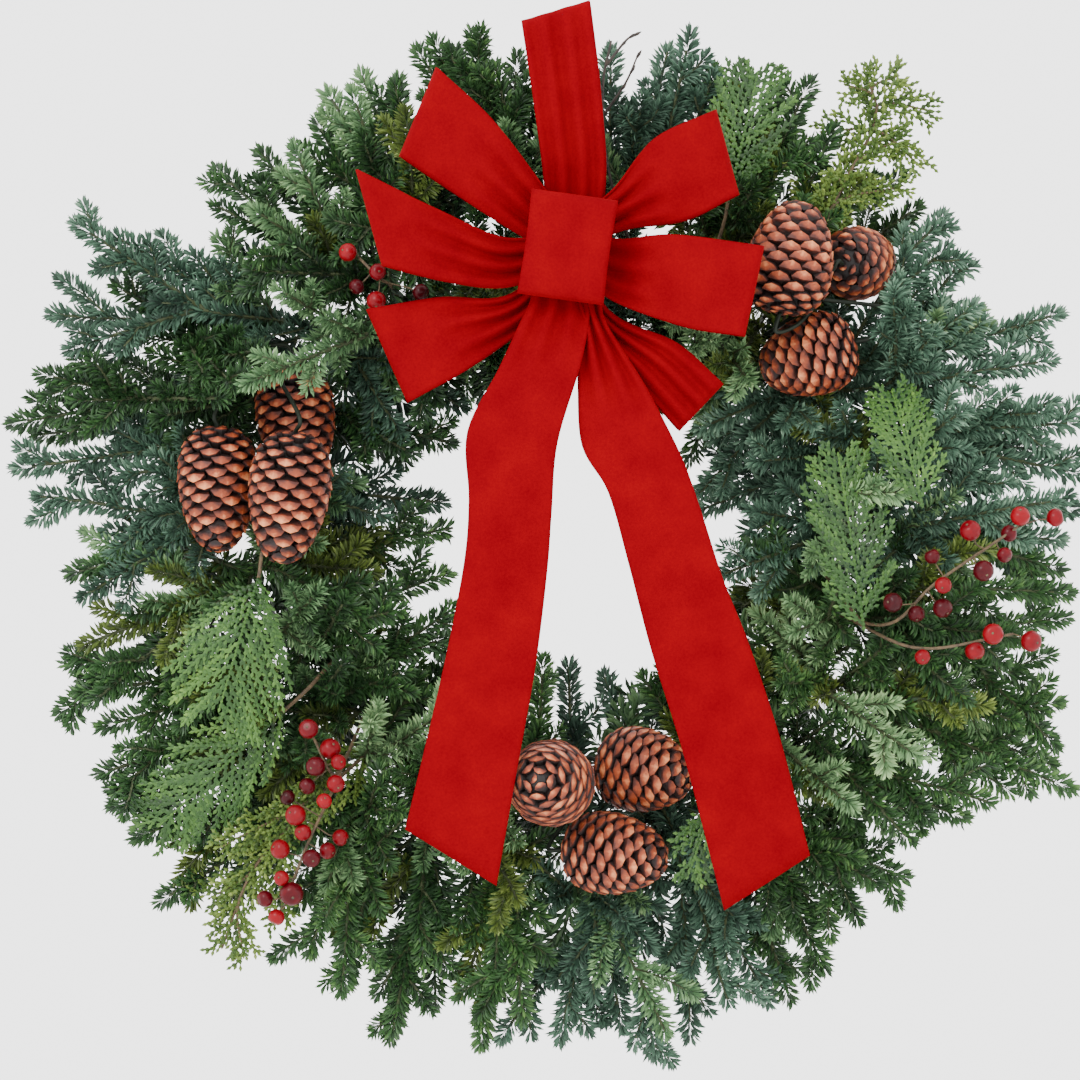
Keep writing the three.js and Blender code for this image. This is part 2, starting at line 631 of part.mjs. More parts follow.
// Fir boughs, one to each seat, clockwise from just left of the top. Each is the tips of its outer
// shoots, then the tip of the one that points into the hole, then those on its front.
const FIR_TIPS = [
  ['fir', [[-78, 346, 30], [-45, 334, 55]], [-20, 105, 30], []],
  ['blueFir', [[84, 345, 42], [50, 306, 60]], [42, 112, 30], []],
  ['fir', [[124, 320, 30], [168, 296, 24]], [75, 90, 35], []],
  ['fir', [[222, 258, 16], [254, 222, 34]], [92, 60, 30], [[120, 112, 78]]],
  ['blueFir', [[272, 168, 62], [333, 152, 40]], [96, 42, 50], [[245, 120, 100]]],
  ['blueFir', [[346, 98, 70], [349, 58, 38]], [102, 15, 25], [[275, 66, 98]]],
  ['blueFir', [[345, 20, 62], [336, -18, 30]], [116, -14, 55], []],
  ['fir', [[334, -62, 50], [334, -100, 26]], [118, -42, 30], [[262, -50, 96]]],
  ['fir', [[335, -132, 48], [345, -165, 28]], [100, -75, 60], [[180, -110, 98]]],
  ['fir', [[300, -182, 55], [245, -208, 90]], [78, -92, 30], [[168, -172, 104]]],
  ['fir', [[228, -234, 40], [198, -264, 72]], [52, -100, 55], [[150, -205, 90]]],
  ['blueFir', [[160, -302, 36], [118, -322, 64]], [24, -98, 28], [[105, -225, 105]]],
  ['blueFir', [[66, -345, 38], [24, -318, 72]], [-2, -88, 55], []],
  ['fir', [[-18, -334, 30], [-46, -318, 62]], [-26, -97, 28], [[-30, -250, 102]]],
  ['fir', [[-88, -326, 30], [-118, -345, 52]], [-52, -86, 55], [[-85, -180, 98]]],
  ['fir', [[-146, -318, 34], [-176, -288, 60]], [-64, -66, 28], [[-130, -215, 98]]],
  ['fir', [[-228, -262, 30], [-268, -236, 50]], [-74, -46, 60], [[-165, -150, 84]]],
  ['fir', [[-298, -206, 34], [-312, -176, 60]], [-80, -22, 30], [[-230, -165, 92]]],
  ['fir', [[-328, -112, 36], [-334, -72, 62]], [-76, 2, 58], [[-140, -50, 92]]],
  ['blueFir', [[-335, -38, 36], [-366, 32, 60]], [-84, 28, 30], [[-290, 0, 84]]],
  ['fir', [[-370, 76, 34], [-340, 100, 62]], [-78, 70, 55], [[-275, 60, 92]]],
  ['blueFir', [[-362, 154, 42], [-312, 214, 60]], [-70, 96, 30], []],
  ['fir', [[-245, 229, 50], [-205, 280, 30]], [-60, 110, 50], [[-215, 190, 96]]],
  ['fir', [[-178, 282, 58], [-140, 330, 36], [-116, 322, 60]], [-42, 118, 30], [[-160, 225, 92]]],
];

function firBough(name, seat, [tone, outer, inner, front]) {
  const draw = drawsFor(name);
  const butt = buttOnRail(seat, OUTER_RAIL, STEM_RADIUS);
  const leaving = butt[2].clone().sub(butt[1]).normalize();
  const rise = leaving.clone().multiplyScalar(0.5).add(FORWARD).normalize();
  const shoots = [];
  const grow = (start, direction, tip, arch, needled, forks = []) => {
    const line = roomyLine(name, CORE_RADIUS, (push, swing, lift) => (
      branchLine(start, direction, moved(at(...tip), push, swing), arch, 8, lift)));
    const owner = `${name} ${shoots.length}`;
    take(name, line, CORE_RADIUS, owner);
    shoots.push([owner, line, { needled, forks }]);
    return line;
  };
  const leader = grow(butt[2], rise, outer[0], 12, LEADER_NEEDLED, [1, 2, 3]);
  const fork = leader[2];
  const heading = leader[3].clone().sub(leader[2]).normalize();
  for (const tip of outer.slice(1)) grow(leader[3], heading, tip, 8, SIDE_NEEDLED);
  const inward = at(...inner).sub(leader[1]).normalize().add(FORWARD).normalize();
  grow(leader[1], inward, inner, 6 + 8 * draw(), INNER_NEEDLED);
  for (const tip of front) grow(fork, rise, tip, 14, FRONT_NEEDLED);
  take(name, butt, STEM_RADIUS);
  const stem = rod([...butt, butt[2].clone().addScaledVector(rise, 6)], STEM_RADIUS, 4, 3);
  const bodies = shoots.map(([owner, line, options]) => () => shoot(name, owner, line, options));
  return { name, tone, stem, bodies };
}

// Flat cedar spray: one thin arched blade whose outline is cut into leaflets down to the rib
const CEDARS = [
  ['cedar_top_right', 28, [118, 238, 60], [140, 332, 52], 78],
  ['cedar_right_high', 66, [232, 106, 96], [252, 24, 124], 62],
  ['cedar_right', 88, [194, 62, 104], [212, -62, 110], 78],
  ['cedar_left', 262, [-210, -22, 92], [-238, -118, 110], 108],
  ['cedar_lower_left', 240, [-192, -117, 80], [-282, -200, 70], 92],
  ['cedar_bottom', 150, [106, -184, 108], [88, -234, 124], 44],
];

function cedarSpray([name, seat, root, tip, width]) {
  const LEAFLETS = 6;
  const from = at(...root);
  const axis = at(...tip).sub(from);
  const length = axis.length();
  const along = axis.clone().normalize();
  const across = new THREE.Vector3().crossVectors(FORWARD, along).normalize();
  const face = new THREE.Vector3().crossVectors(along, across).normalize();
  const outline = new THREE.Shape();
  const pitch = length / (LEAFLETS + 0.6);
  const sideOutline = (side) => {
    const points = [];
    for (let i = 0; i < LEAFLETS; i += 1) {
      const start = (i + (side > 0 ? 0 : 0.4)) * pitch;
      const reach = (width / 2) * Math.sin(Math.PI * (0.28 + (0.66 * start) / length)) ** 0.8;
      points.push([start, side * 1.6]);
      points.push([start + reach * 0.75, side * reach]);
      points.push([start + reach * 0.75 + pitch * 0.5, side * reach * 0.85]);
    }
    return points;
  };
  const right = sideOutline(1);
  const left = sideOutline(-1).reverse();
  const points = [...right, [length, 0], ...left];
  points.forEach(([u, w], i) => (i === 0 ? outline.moveTo(u, w) : outline.lineTo(u, w)));
  const blade = new THREE.ExtrudeGeometry(outline, { depth: 1.4, bevelEnabled: false });
  const places = blade.attributes.position;
  for (let i = 0; i < places.count; i += 1) {
    const [u, w, d] = [places.getX(i), places.getY(i), places.getZ(i) - 0.7];
    const arch = 10 * Math.sin((Math.PI * u) / length) - 0.004 * w * w;
    const place = from.clone().addScaledVector(along, u).addScaledVector(across, w)
      .addScaledVector(face, d + arch);
    places.setXYZ(i, place.x, place.y, place.z);
  }
  for (let i = 0; i < 8; i += 1) {
    const [u, half] = [(i + 0.5) / 8, (width / 2) * 0.9 * Math.sin(Math.PI * (0.25 + 0.6 * (i / 8)))];
    const middle = from.clone().addScaledVector(along, u * length)
      .addScaledVector(face, 10 * Math.sin(Math.PI * u));
    take(name, [middle.clone().addScaledVector(across, half), middle.clone().addScaledVector(across, -half)], 6);
  }
  const radius = 2;
  const butt = buttOnRail(seat, INNER_RAIL, radius);
  const stalk = [
    ...butt, onRing(seat + 3, INNER_RAIL + 2, 30),
    from.clone().addScaledVector(along, -22), from.clone().addScaledVector(along, 4),
  ];
  take(name, new THREE.CatmullRomCurve3(stalk).getPoints(10), radius);
  return { name, blade, stem: rod(stalk, radius, 4, 7) };
}

// Juniper sprigs: a thin stem with short wispy branches
const SPINE_STEPS = 20;
const JUNIPER_STEM = 1.8;
const JUNIPER_LOOK = { needle: 9, step: 16, radius: 1.5 };
const JUNIPERS = [
  ['juniper_upper_right', 50, [[190, 232, 62], [222, 296, 50], [217, 330, 42]], [
    [0.68, 252, 252, 74], [0.72, 184, 290, 40], [0.8, 262, 304, 58], [0.86, 200, 322, 64], [0.9, 240, 330, 36],
  ]],
  ['juniper_lower_left', 219, [[-168, -178, 72], [-214, -228, 70], [-238, -286, 60]], [
    [0.45, -238, -214, 84], [0.6, -196, -268, 60], [0.75, -248, -252, 52], [0.85, -222, -292, 76],
  ]],
];

function juniperSprig([name, seat, points, branches]) {
  const butt = buttOnRail(seat, INNER_RAIL, JUNIPER_STEM);
  const spine = [butt[2], onRing(seat + 2, INNER_RAIL + 3, 26), ...points.map((place) => at(...place))];
  const curve = new THREE.CatmullRomCurve3(spine);
  const main = curve.getSpacedPoints(SPINE_STEPS);
  const forks = branches.map(([share]) => Math.round(share * SPINE_STEPS));
  const shoots = [{ line: main, needled: curve.getLength() * 0.36, forks }];
  for (const [share, x, z, forward] of branches) {
    const start = main[Math.round(share * SPINE_STEPS)];
    const line = branchLine(start, curve.getTangentAt(share), at(x, z, forward), 4, 5);
    shoots.push({ line, needled: start.distanceTo(at(x, z, forward)) * 0.8 });
  }
  take(name, butt, JUNIPER_STEM);
  shoots.forEach(({ line }, i) => take(name, line, JUNIPER_STEM, `${name} ${i}`));
  return { name, stem: rod([...butt, spine[1]], JUNIPER_STEM, 4, 5), shoots };
}

// Berry sprays: a stem from the rail and its side stems, with a berry at the end of each short stalk
const BERRIES = [
  ['berries_right', 101, [[226, -58, 96], [262, -28, 118], [318, 10, 116]],
    [[0.6, [250, -74, 112], [316, -64, 112]]],
    [
      [345, 17, 116, 6.5], [320, 18, 122, 7], [285, 8, 126, 7.5], [294, -20, 130, 7.5], [259, -10, 118, 5.5],
      [266, -30, 130, 6], [266, -46, 124, 7], [231, -42, 130, 7],
      [328, -69, 118, 7.5], [301, -64, 124, 7.5], [289, -76, 112, 7], [252, -80, 122, 5.5],
    ]],
  ['berries_lower_left', 228, [[-160, -176, 96], [-174, -206, 112], [-190, -246, 104]],
    [[0.6, [-158, -162, 112], [-172, -136, 114]]],
    [
      [-175, -130, 122, 7], [-160, -144, 118, 7.5], [-170, -156, 124, 7], [-156, -168, 124, 6.5],
      [-184, -190, 122, 7.5], [-195, -214, 116, 7], [-173, -220, 124, 6.5], [-153, -206, 112, 6],
      [-187, -245, 116, 8.5], [-206, -249, 106, 6], [-198, -262, 104, 6],
    ]],
  ['berries_upper_left', 322, [[-116, 176, 84], [-126, 184, 106], [-140, 198, 104]], [],
    [
      [-148, 202, 110, 6.5], [-127, 188, 118, 6], [-142, 178, 108, 5.5], [-128, 168, 114, 7],
      [-97, 174, 112, 6],
    ]],
];

// Points evenly along the straight spans of a line
function beads(points, parts) {
  return points.slice(1).flatMap((end, i) => (
    Array.from({ length: parts }, (_, k) => points[i].clone().lerp(end, (k + 1) / parts))));
}

function berrySpray([name, seat, points, sides, berries]) {
  const radius = 1.5;
  const butt = buttOnRail(seat, INNER_RAIL, radius);
  const spine = [...butt, onRing(seat + 2, INNER_RAIL + 3, 24), ...points.map((place) => at(...place))];
  const curve = new THREE.CatmullRomCurve3(spine);
  const parts = [rod(spine, radius, 4, 10)];
  take(name, curve.getPoints(12), radius);
  const samples = beads(curve.getSpacedPoints(10), 4).slice(22);
  for (const [share, middle, end] of sides) {
    const line = [curve.getPointAt(share), at(...middle), at(...end)];
    parts.push(rod(line, radius * 0.9, 3, 3));
    const side = new THREE.CatmullRomCurve3(line).getSpacedPoints(3);
    samples.push(...beads(side, 5));
    take(name, side, radius);
  }
  for (const [x, z, forward, size] of berries) {
    const centre = at(x, z, forward);
    const nearest = samples.reduce((a, b) => (a.distanceTo(centre) < b.distanceTo(centre) ? a : b));
    const berry = new THREE.IcosahedronGeometry(size, 0).translate(centre.x, centre.y, centre.z);
    parts.push(berry, rod([nearest, centre], 1, 3, 1));
    take(name, [centre, centre.clone().addScaledVector(FORWARD, 0.5)], size + 1);
    take(name, [nearest, centre], 1.2);
  }
  addMesh(name, fuse(parts), COLOURS.berry, 0.3);
}

// Bare twig behind the top loop
function bareTwig() {
  const butt = buttOnRail(21, INNER_RAIL, 1.8);
  const main = [...butt, at(56, 190, 30), at(34, 262, 66), at(30, 318, 76), at(36, 352, 74)];
  const sides = [
    [at(31, 300, 73), at(46, 322, 80), at(54, 340, 78)],
    [at(30, 316, 76), at(22, 334, 84), at(22, 348, 86)],
    [at(32, 334, 76), at(46, 352, 70), at(52, 356, 68)],
  ];
  for (const line of [main, ...sides]) take('bare_twig', new THREE.CatmullRomCurve3(line).getPoints(8), 2);
  const rods = [rod(main, 1.8, 4, 9), ...sides.map((line) => rod(line, 1.1, 3, 2))];
  addMesh('bare_twig', fuse(rods), COLOURS.bark, 0.9);
}

// Assembly: hard pieces first, then every core, and needles last, where room is left
ringFrame();
CONE_GROUPS.forEach(coneGroup);
LOOPS.forEach(bowLoop);
Object.keys(TAILS).forEach(bowTail);
bowKnot();
bowTieWire();
BERRIES.forEach(berrySpray);
bareTwig();
const cedars = CEDARS.map(cedarSpray);
const junipers = JUNIPERS.map(juniperSprig);
const boughs = FIR_TIPS.map((bough, i) => (
  firBough(`fir_bough_${String(i + 1).padStart(2, '0')}`, FIRST_SEAT + i * BOUGH_PITCH, bough)));
for (const { name, tone, stem, bodies } of boughs) {
  addMesh(name, fuse([stem, ...bodies.map((body) => body())]), COLOURS[tone], 0.65);
}
for (const { name, stem, shoots } of junipers) {
  const bodies = shoots.map(({ line, needled, forks }, i) => (
    shoot(name, `${name} ${i}`, line, { needled, forks, ...JUNIPER_LOOK })));
  addMesh(name, fuse([stem, ...bodies]), COLOURS.juniper, 0.7);
}
for (const { name, blade, stem } of cedars) addMesh(name, fuse([blade, stem]), COLOURS.cedar, 0.65);

export default wreath;
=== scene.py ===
# %% [markdown]
# # A fresh evergreen wreath
# The wreath hangs upright: a wire ring, two dozen fir boughs, cedar and juniper sprays, pine cones,
# berries and a velvet bow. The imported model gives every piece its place. This lesson keeps that form
# and gives each piece its needles, scales, pile and colour.

# %% Load the frame
import math

import bpy
import numpy as np
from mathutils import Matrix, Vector
from mathutils.bvhtree import BVHTree


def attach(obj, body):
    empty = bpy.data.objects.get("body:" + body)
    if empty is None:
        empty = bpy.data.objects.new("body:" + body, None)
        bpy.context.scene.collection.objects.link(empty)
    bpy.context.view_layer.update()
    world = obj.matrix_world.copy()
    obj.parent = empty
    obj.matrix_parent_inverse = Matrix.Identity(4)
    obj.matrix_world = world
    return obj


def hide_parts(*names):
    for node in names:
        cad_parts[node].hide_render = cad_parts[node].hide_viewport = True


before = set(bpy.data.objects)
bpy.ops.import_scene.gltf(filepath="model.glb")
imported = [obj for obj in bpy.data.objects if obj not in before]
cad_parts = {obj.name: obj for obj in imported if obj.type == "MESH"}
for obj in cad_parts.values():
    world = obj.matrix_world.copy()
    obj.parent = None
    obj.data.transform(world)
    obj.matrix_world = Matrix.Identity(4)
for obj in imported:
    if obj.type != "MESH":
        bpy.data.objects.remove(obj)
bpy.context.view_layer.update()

print("nodes in the frame:", len(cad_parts))

# %% [markdown]
# ## Places
# Every place is written as x to the right, z up and forward towards the viewer, in millimetres from
# the ring's centre. The model's own zero is the hook's point under the outer rail, so one function
# moves and scales a finished piece into the model's frame.

# %% Places and directions
HANG_HEIGHT = 201.0
MM = 0.001
FORWARD = np.array([0.0, -1.0, 0.0])


def at(x, z, forward):
    return np.array([x, -forward, z], float)


def spots(rows):
    return [at(*row) for row in rows]


def on_ring(degrees, radius, forward):
    turn = math.radians(degrees)
    return at(radius * math.sin(turn), radius * math.cos(turn), forward)


def in_frame(points):
    return (np.asarray(points, float) + [0, 0, -HANG_HEIGHT]) * MM


def unit(v):
    v = np.asarray(v, float)
    return v / np.maximum(np.linalg.norm(v, axis=-1, keepdims=True), 1e-9)


# %% [markdown]
# ## Camera
# The photo looks at the wreath squarely from the front, from far enough away that nothing spreads
# with nearness. A long lens five metres off does the same. One pixel of the photo is 0.7 mm.

# %% Camera
PIXEL = 0.7
PHOTO_WIDTH = 1080
CAMERA_DISTANCE = 5.0
SENSOR = 36.0
FOLIAGE_DEPTH = 90

camera_data = bpy.data.cameras.new("camera")
camera_data.sensor_width = SENSOR
camera_data.lens = SENSOR * CAMERA_DISTANCE / (PIXEL * PHOTO_WIDTH * MM)
camera = bpy.data.objects.new("camera", camera_data)
bpy.context.collection.objects.link(camera)
# The photo's middle lies 14 mm to the left of the ring's centre and 1.4 mm above it.
view_centre = in_frame(at(-14, 1.4, FOLIAGE_DEPTH))
camera.location = Vector(view_centre) + Vector((0, -CAMERA_DISTANCE, 0))
camera.rotation_euler = (math.pi / 2, 0, 0)
bpy.context.scene.camera = camera
print("lens:", round(camera_data.lens), "mm")

# %% [markdown]
# ## Studio
# The photo has a plain white ground with hardly any shadow. A bright even world does most of that
# work, and large soft lamps give the cones and the velvet their form.

# %% Studio
FLOOR_DROP, FLOOR_RADIUS, FLOOR_CORNERS = 0.98, 2.6, 64
WORLD_LIGHT = 3.4
floor_mesh = bpy.data.meshes.new("floor")
floor_corners = [
    (FLOOR_RADIUS * math.cos(a), FLOOR_RADIUS * math.sin(a), -FLOOR_DROP)
    for a in np.linspace(0, 2 * math.pi, FLOOR_CORNERS, endpoint=False)
]
floor_mesh.from_pydata(floor_corners, [], [list(range(FLOOR_CORNERS))])
floor = bpy.data.objects.new("floor", floor_mesh)
bpy.context.collection.objects.link(floor)

world = bpy.data.worlds.new("studio")
bpy.context.scene.world = world
world.use_nodes = True
sky = world.node_tree.nodes["Background"]
sky.inputs["Color"].default_value = (1, 1, 1, 1)
sky.inputs["Strength"].default_value = WORLD_LIGHT

# %% Lamps
LAMP_TARGET = (0, -0.05, -0.2)


def lamp(name, place, size, watts):
    data = bpy.data.lights.new(name, "AREA")
    data.size = size
    data.energy = watts
    light = bpy.data.objects.new(name, data)
    light.location = place
    heading = Vector(LAMP_TARGET) - Vector(place)
    light.rotation_euler = heading.to_track_quat("-Z", "Y").to_euler()
    bpy.context.collection.objects.link(light)


lamp("key_light", (-1.2, -2.2, 1.3), 1.0, 70)
lamp("fill_light", (1.8, -1.8, 0.2), 1.8, 12)
lamp("back_light", (0.4, 1.6, 1.4), 1.4, 12)
print("floor and lamps made")

# %% [markdown]
# ## Building blocks for meshes
# Needles, scales and wires come by the thousand, so each kind is worked out as arrays of corners and
# triangles. A piece is then one mesh made from many parts. Each corner carries a tone, which is its
# part's own chance colour, and a reach, which runs from its root to its tip. The reach carries painted
# shade and light: leaves are painted darker towards their roots, cone scales near black in their gaps
# and lighter at their free edges.

# %% Parts of a piece


class Parts:
    """Collects parts of one piece: corners, triangles, material numbers, tone and reach (painted shade
    and light).
    """

    def __init__(self):
        self.points, self.faces, self.kinds, self.tones, self.painted_shades = [], [], [], [], []
        self.count = 0

    def add(self, points, faces, kind=0, tone=0.5, reach=0.5):
        points, faces = np.asarray(points, float), np.asarray(faces, int)
        if len(points) == 0:
            return
        self.points.append(points)
        self.faces.append(faces + self.count)
        self.kinds.append(np.full(len(faces), kind))
        self.tones.append(np.broadcast_to(tone, len(points)))
        self.painted_shades.append(np.broadcast_to(reach, len(points)))
        self.count += len(points)

    def rod(self, line, thick, sides=6, kind=1):
        """Adds a round rod whose radius runs evenly between the two values of thick."""
        self.add(*tube(line, np.linspace(*thick, len(line)), sides), kind)

    def piece(self, name, materials, node=None, smooth=False):
        points = in_frame(np.concatenate(self.points))
        faces = np.concatenate(self.faces)
        mesh = bpy.data.meshes.new(name)
        mesh.vertices.add(len(points))
        mesh.vertices.foreach_set("co", points.ravel())
        mesh.loops.add(faces.size)
        mesh.loops.foreach_set("vertex_index", faces.ravel())
        mesh.polygons.add(len(faces))
        mesh.polygons.foreach_set("loop_start", np.arange(0, faces.size, 3))
        mesh.polygons.foreach_set("loop_total", np.full(len(faces), 3))
        for material in materials:
            mesh.materials.append(material)
        mesh.polygons.foreach_set("material_index", np.concatenate(self.kinds))
        mesh.polygons.foreach_set("use_smooth", np.full(len(faces), smooth))
        # The reach attribute carries painted shade and light for the leaf and cone materials.
        for label, values in (("tone", self.tones), ("reach", self.painted_shades)):
            layer = mesh.attributes.new(label, "FLOAT", "POINT")
            layer.data.foreach_set("value", np.concatenate(values))
        mesh.update(calc_edges=True)
        mesh.validate()
        thing = bpy.data.objects.new(name, mesh)
        bpy.context.collection.objects.link(thing)
        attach(thing, "root")
        if node:
            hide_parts(node)
        made[name] = len(faces)
        return thing


made = {}

# %% Counts and chance


def tell(start):
    """Prints how many triangles the pieces of one kind hold."""
    held = sum(n for name, n in made.items() if name.startswith(start))
    print(start, "pieces hold", held, "triangles")


def seeded(name):
    """A piece's own stream of chance numbers, the same in every run."""
    return np.random.default_rng(sum(map(ord, name)))


# %% Triangles


def quads(a, b, c, d):
    """Two triangles for each set of four corner numbers."""
    return np.concatenate([np.stack([a, b, c], 1), np.stack([a, c, d], 1)])


def copies(block, corners, count):
    """The triangles of one small part, repeated for a row of such parts."""
    return (np.arange(count)[:, None, None] * corners + np.array(block)).reshape(-1, 3)


def closed_rings(rings, around):
    """Triangles of a ball-like form: a first corner, rings of corners, and a last corner."""
    j = np.arange(around)
    after = (j + 1) % around
    last = 1 + (rings - 1) * around
    faces = [np.stack([0 * j, 1 + after, 1 + j], 1)]
    for ring in range(rings - 1):
        a, b = 1 + ring * around + j, 1 + ring * around + after
        faces.append(quads(a, b, b + around, a + around))
    faces.append(np.stack([last + j, last + after, 0 * j + last + around], 1))
    return np.concatenate(faces)


# %% Lines


def dense(points, step):
    """Points at even steps along a line, with the direction at each."""
    points = np.asarray(points, float)
    spans = np.linalg.norm(np.diff(points, axis=0), axis=1)
    arcs = np.concatenate([[0], np.cumsum(spans)])
    count = max(int(arcs[-1] / step), 2)
    stops = np.linspace(0, arcs[-1], count + 1)
    line = np.stack([np.interp(stops, arcs, points[:, k]) for k in range(3)], axis=1)
    return line, unit(np.gradient(line, axis=0)), stops / arcs[-1], arcs[-1]


def smooth_line(points, count):
    """A Catmull-Rom curve through a few points."""
    p = np.asarray(points, float)
    p = np.vstack([2 * p[0] - p[1], p, 2 * p[-1] - p[-2]])
    out = []
    for share in np.linspace(0, len(p) - 3 - 1e-6, count):
        i, t = int(share), share % 1
        a, b, c, d = p[i:i + 4]
        out.append(0.5 * ((2 * b) + (c - a) * t + (2 * a - 5 * b + 4 * c - d) * t ** 2
                          + (3 * b - a - 3 * c + d) * t ** 3))
    return np.array(out)


def across_frame(tangents, ahead=FORWARD):
    """Two directions square to each tangent: one lies near the wreath's plane, one looks forward."""
    side = unit(np.cross(tangents, ahead) + 1e-6)
    return side, unit(np.cross(side, tangents))


# %% Round rods


def tube(points, radii, sides=6):
    """A round rod along a line, closed at both ends."""
    points = np.asarray(points, float)
    tangents = unit(np.gradient(points, axis=0))
    side, up = across_frame(tangents)
    radii = np.broadcast_to(radii, len(points))
    turns = np.linspace(0, 2 * math.pi, sides, endpoint=False)
    across, rise = np.cos(turns)[None, :, None], np.sin(turns)[None, :, None]
    spokes = side[:, None] * across + up[:, None] * rise
    rings = points[:, None] + radii[:, None, None] * spokes
    corners = np.concatenate([rings.reshape(-1, 3), points[:1], points[-1:]])
    i, j = np.meshgrid(np.arange(len(points) - 1), np.arange(sides), indexing="ij")
    a, b = (i * sides + j).ravel(), (i * sides + (j + 1) % sides).ravel()
    faces = [quads(a, b, b + sides, a + sides)]
    ring, first, last = np.arange(sides), len(points) * sides, len(points) * sides + 1
    nxt, end = (ring + 1) % sides, (len(points) - 1) * sides
    faces.append(np.stack([nxt, ring, np.full(sides, first)], 1))
    faces.append(np.stack([ring + end, nxt + end, np.full(sides, last)], 1))
    return corners, np.concatenate(faces)


# %% [markdown]
# ## Materials
# Each finish starts from the real stuff. Living leaves are waxy, so they have a soft gloss over a
# colour that shifts from needle to needle. One function adds a node with its settings and links.

# %% Node helper


def add_node(tree, kind, links=(), **settings):
    """Adds a node. links are (input, value or output); settings are the node's own properties."""
    node = tree.nodes.new(kind)
    for key, value in settings.items():
        setattr(node, key, value)
    for key, value in links:
        if isinstance(value, bpy.types.NodeSocket):
            tree.links.new(value, node.inputs[key])
        else:
            node.inputs[key].default_value = value
    return node


def new_material(name, roughness, **fixed):
    material = bpy.data.materials.new(name)
    material.use_nodes = True
    shader = material.node_tree.nodes["Principled BSDF"]
    shader.inputs["Roughness"].default_value = roughness
    for key, value in fixed.items():
        shader.inputs[key.replace("_", " ")].default_value = value
    return material, material.node_tree, shader


def linear(hex_colour):
    """An sRGB hex colour as linear light with alpha."""
    channels = [int(hex_colour[i:i + 2], 16) / 255 for i in (0, 2, 4)]
    lit = [c / 12.92 if c <= 0.04045 else ((c + 0.055) / 1.055) ** 2.4 for c in channels]
    return (*lit, 1.0)


def ramp(tree, factor, stops):
    """A colour ramp from (share, hex) stops."""
    node = add_node(tree, "ShaderNodeValToRGB", [("Fac", factor)])
    elements = node.color_ramp.elements
    while len(elements) < len(stops):
        elements.new(0.5)
    for element, (share, colour) in zip(elements, stops):
        element.position = share
        element.color = linear(colour)
    return node.outputs["Color"]


# %% Patterns and colours


def corner_value(tree, label):
    return add_node(tree, "ShaderNodeAttribute", attribute_name=label).outputs["Fac"]


def patches(tree, size_mm, detail=2.0):
    """Soft random patches of a real size, from the object's own place."""
    place = add_node(tree, "ShaderNodeTexCoord").outputs["Object"]
    links = [("Vector", place), ("Scale", 1000.0 / size_mm), ("Detail", detail)]
    return add_node(tree, "ShaderNodeTexNoise", links).outputs["Fac"]


def raised(tree, shader, height, strength, depth_mm):
    """Lets a pattern stand up from the surface by a real depth."""
    links = [("Height", height), ("Strength", strength), ("Distance", depth_mm * MM)]
    bump = add_node(tree, "ShaderNodeBump", links)
    tree.links.new(bump.outputs["Normal"], shader.inputs["Normal"])


def coloured(tree, shader, factor, stops):
    tree.links.new(ramp(tree, factor, stops), shader.inputs["Base Color"])


def blended(tree, first, second, share):
    total = add_node(tree, "ShaderNodeMath", [(0, first), (1, 1.0 - share)], operation="MULTIPLY")
    part = add_node(tree, "ShaderNodeMath", [(0, second), (1, share)], operation="MULTIPLY")
    both = [(0, total.outputs[0]), (1, part.outputs[0])]
    return add_node(tree, "ShaderNodeMath", both, operation="ADD").outputs[0]


# %% [markdown]
# ### Leaves and bark
# A fir needle is about 2 mm wide with a waxy skin. Each leaf is painted darker at its root and paler
# at its tip, as painted shade where the leaves crowd round their twig. Blue firs have a powdery bloom
# that lifts and cools the colour. Cedar and juniper leaves are tiny scales.

# %% Leaf and bark materials
# The third number is how much painted shade a leaf takes from its reach, darkest at its root.
LEAF_PATCH, PATCH_SHARE, ROOT_SHADE_SHARE = 70, 0.35, 0.25
FIR_SHARES, SCALE_SHARES = (0.12, 0.42, 0.66, 0.92), (0.15, 0.45, 0.7, 0.95)


def leaf_material(name, shares, colours, roughness=0.48):
    material, tree, shader = new_material(name, roughness, Specular_IOR_Level=0.25)
    tone = blended(tree, corner_value(tree, "tone"), patches(tree, LEAF_PATCH), PATCH_SHARE)
    # Painted shade: the reach darkens each leaf towards its root.
    tone = blended(tree, tone, corner_value(tree, "reach"), ROOT_SHADE_SHARE)
    coloured(tree, shader, tone, list(zip(shares, colours.split())))
    return material


fir_needles = leaf_material("fir_needle_wax", FIR_SHARES, "081309 162b15 2b4923 5c7c42")
blue_fir_needles = leaf_material(
    "blue_fir_needle_bloom", FIR_SHARES, "0c1813 213629 3e5947 779279", 0.55)
pale_fir_needles = leaf_material(
    "pale_fir_needle_underside", FIR_SHARES, "182c19 375433 628055 9db47f", 0.55)
olive_fir_needles = leaf_material("olive_fir_needle", FIR_SHARES, "131b07 2b3812 4c5c24 82914a")
cedar_scales = leaf_material("cedar_scale_leaf", SCALE_SHARES, "0b1c07 213f13 406024 6f8b3a", 0.5)
juniper_scales = leaf_material(
    "juniper_scale_leaf", SCALE_SHARES, "16230b 324818 57692a 8a964c", 0.55)


# %% Bark


def bark_material(name, stops):
    material, tree, shader = new_material(name, 0.8)
    grain = patches(tree, 3.0, 4.0)
    coloured(tree, shader, grain, stops)
    raised(tree, shader, grain, 0.5, 0.6)
    return material


twig_bark = bark_material("fir_twig_bark", [(0.3, "2c2014"), (0.7, "57452b")])
green_bark = bark_material("young_green_bark", [(0.3, "1c2410"), (0.7, "3a4222")])
dry_bark = bark_material("dry_twig_bark", [(0.3, "15100d"), (0.7, "33271f")])
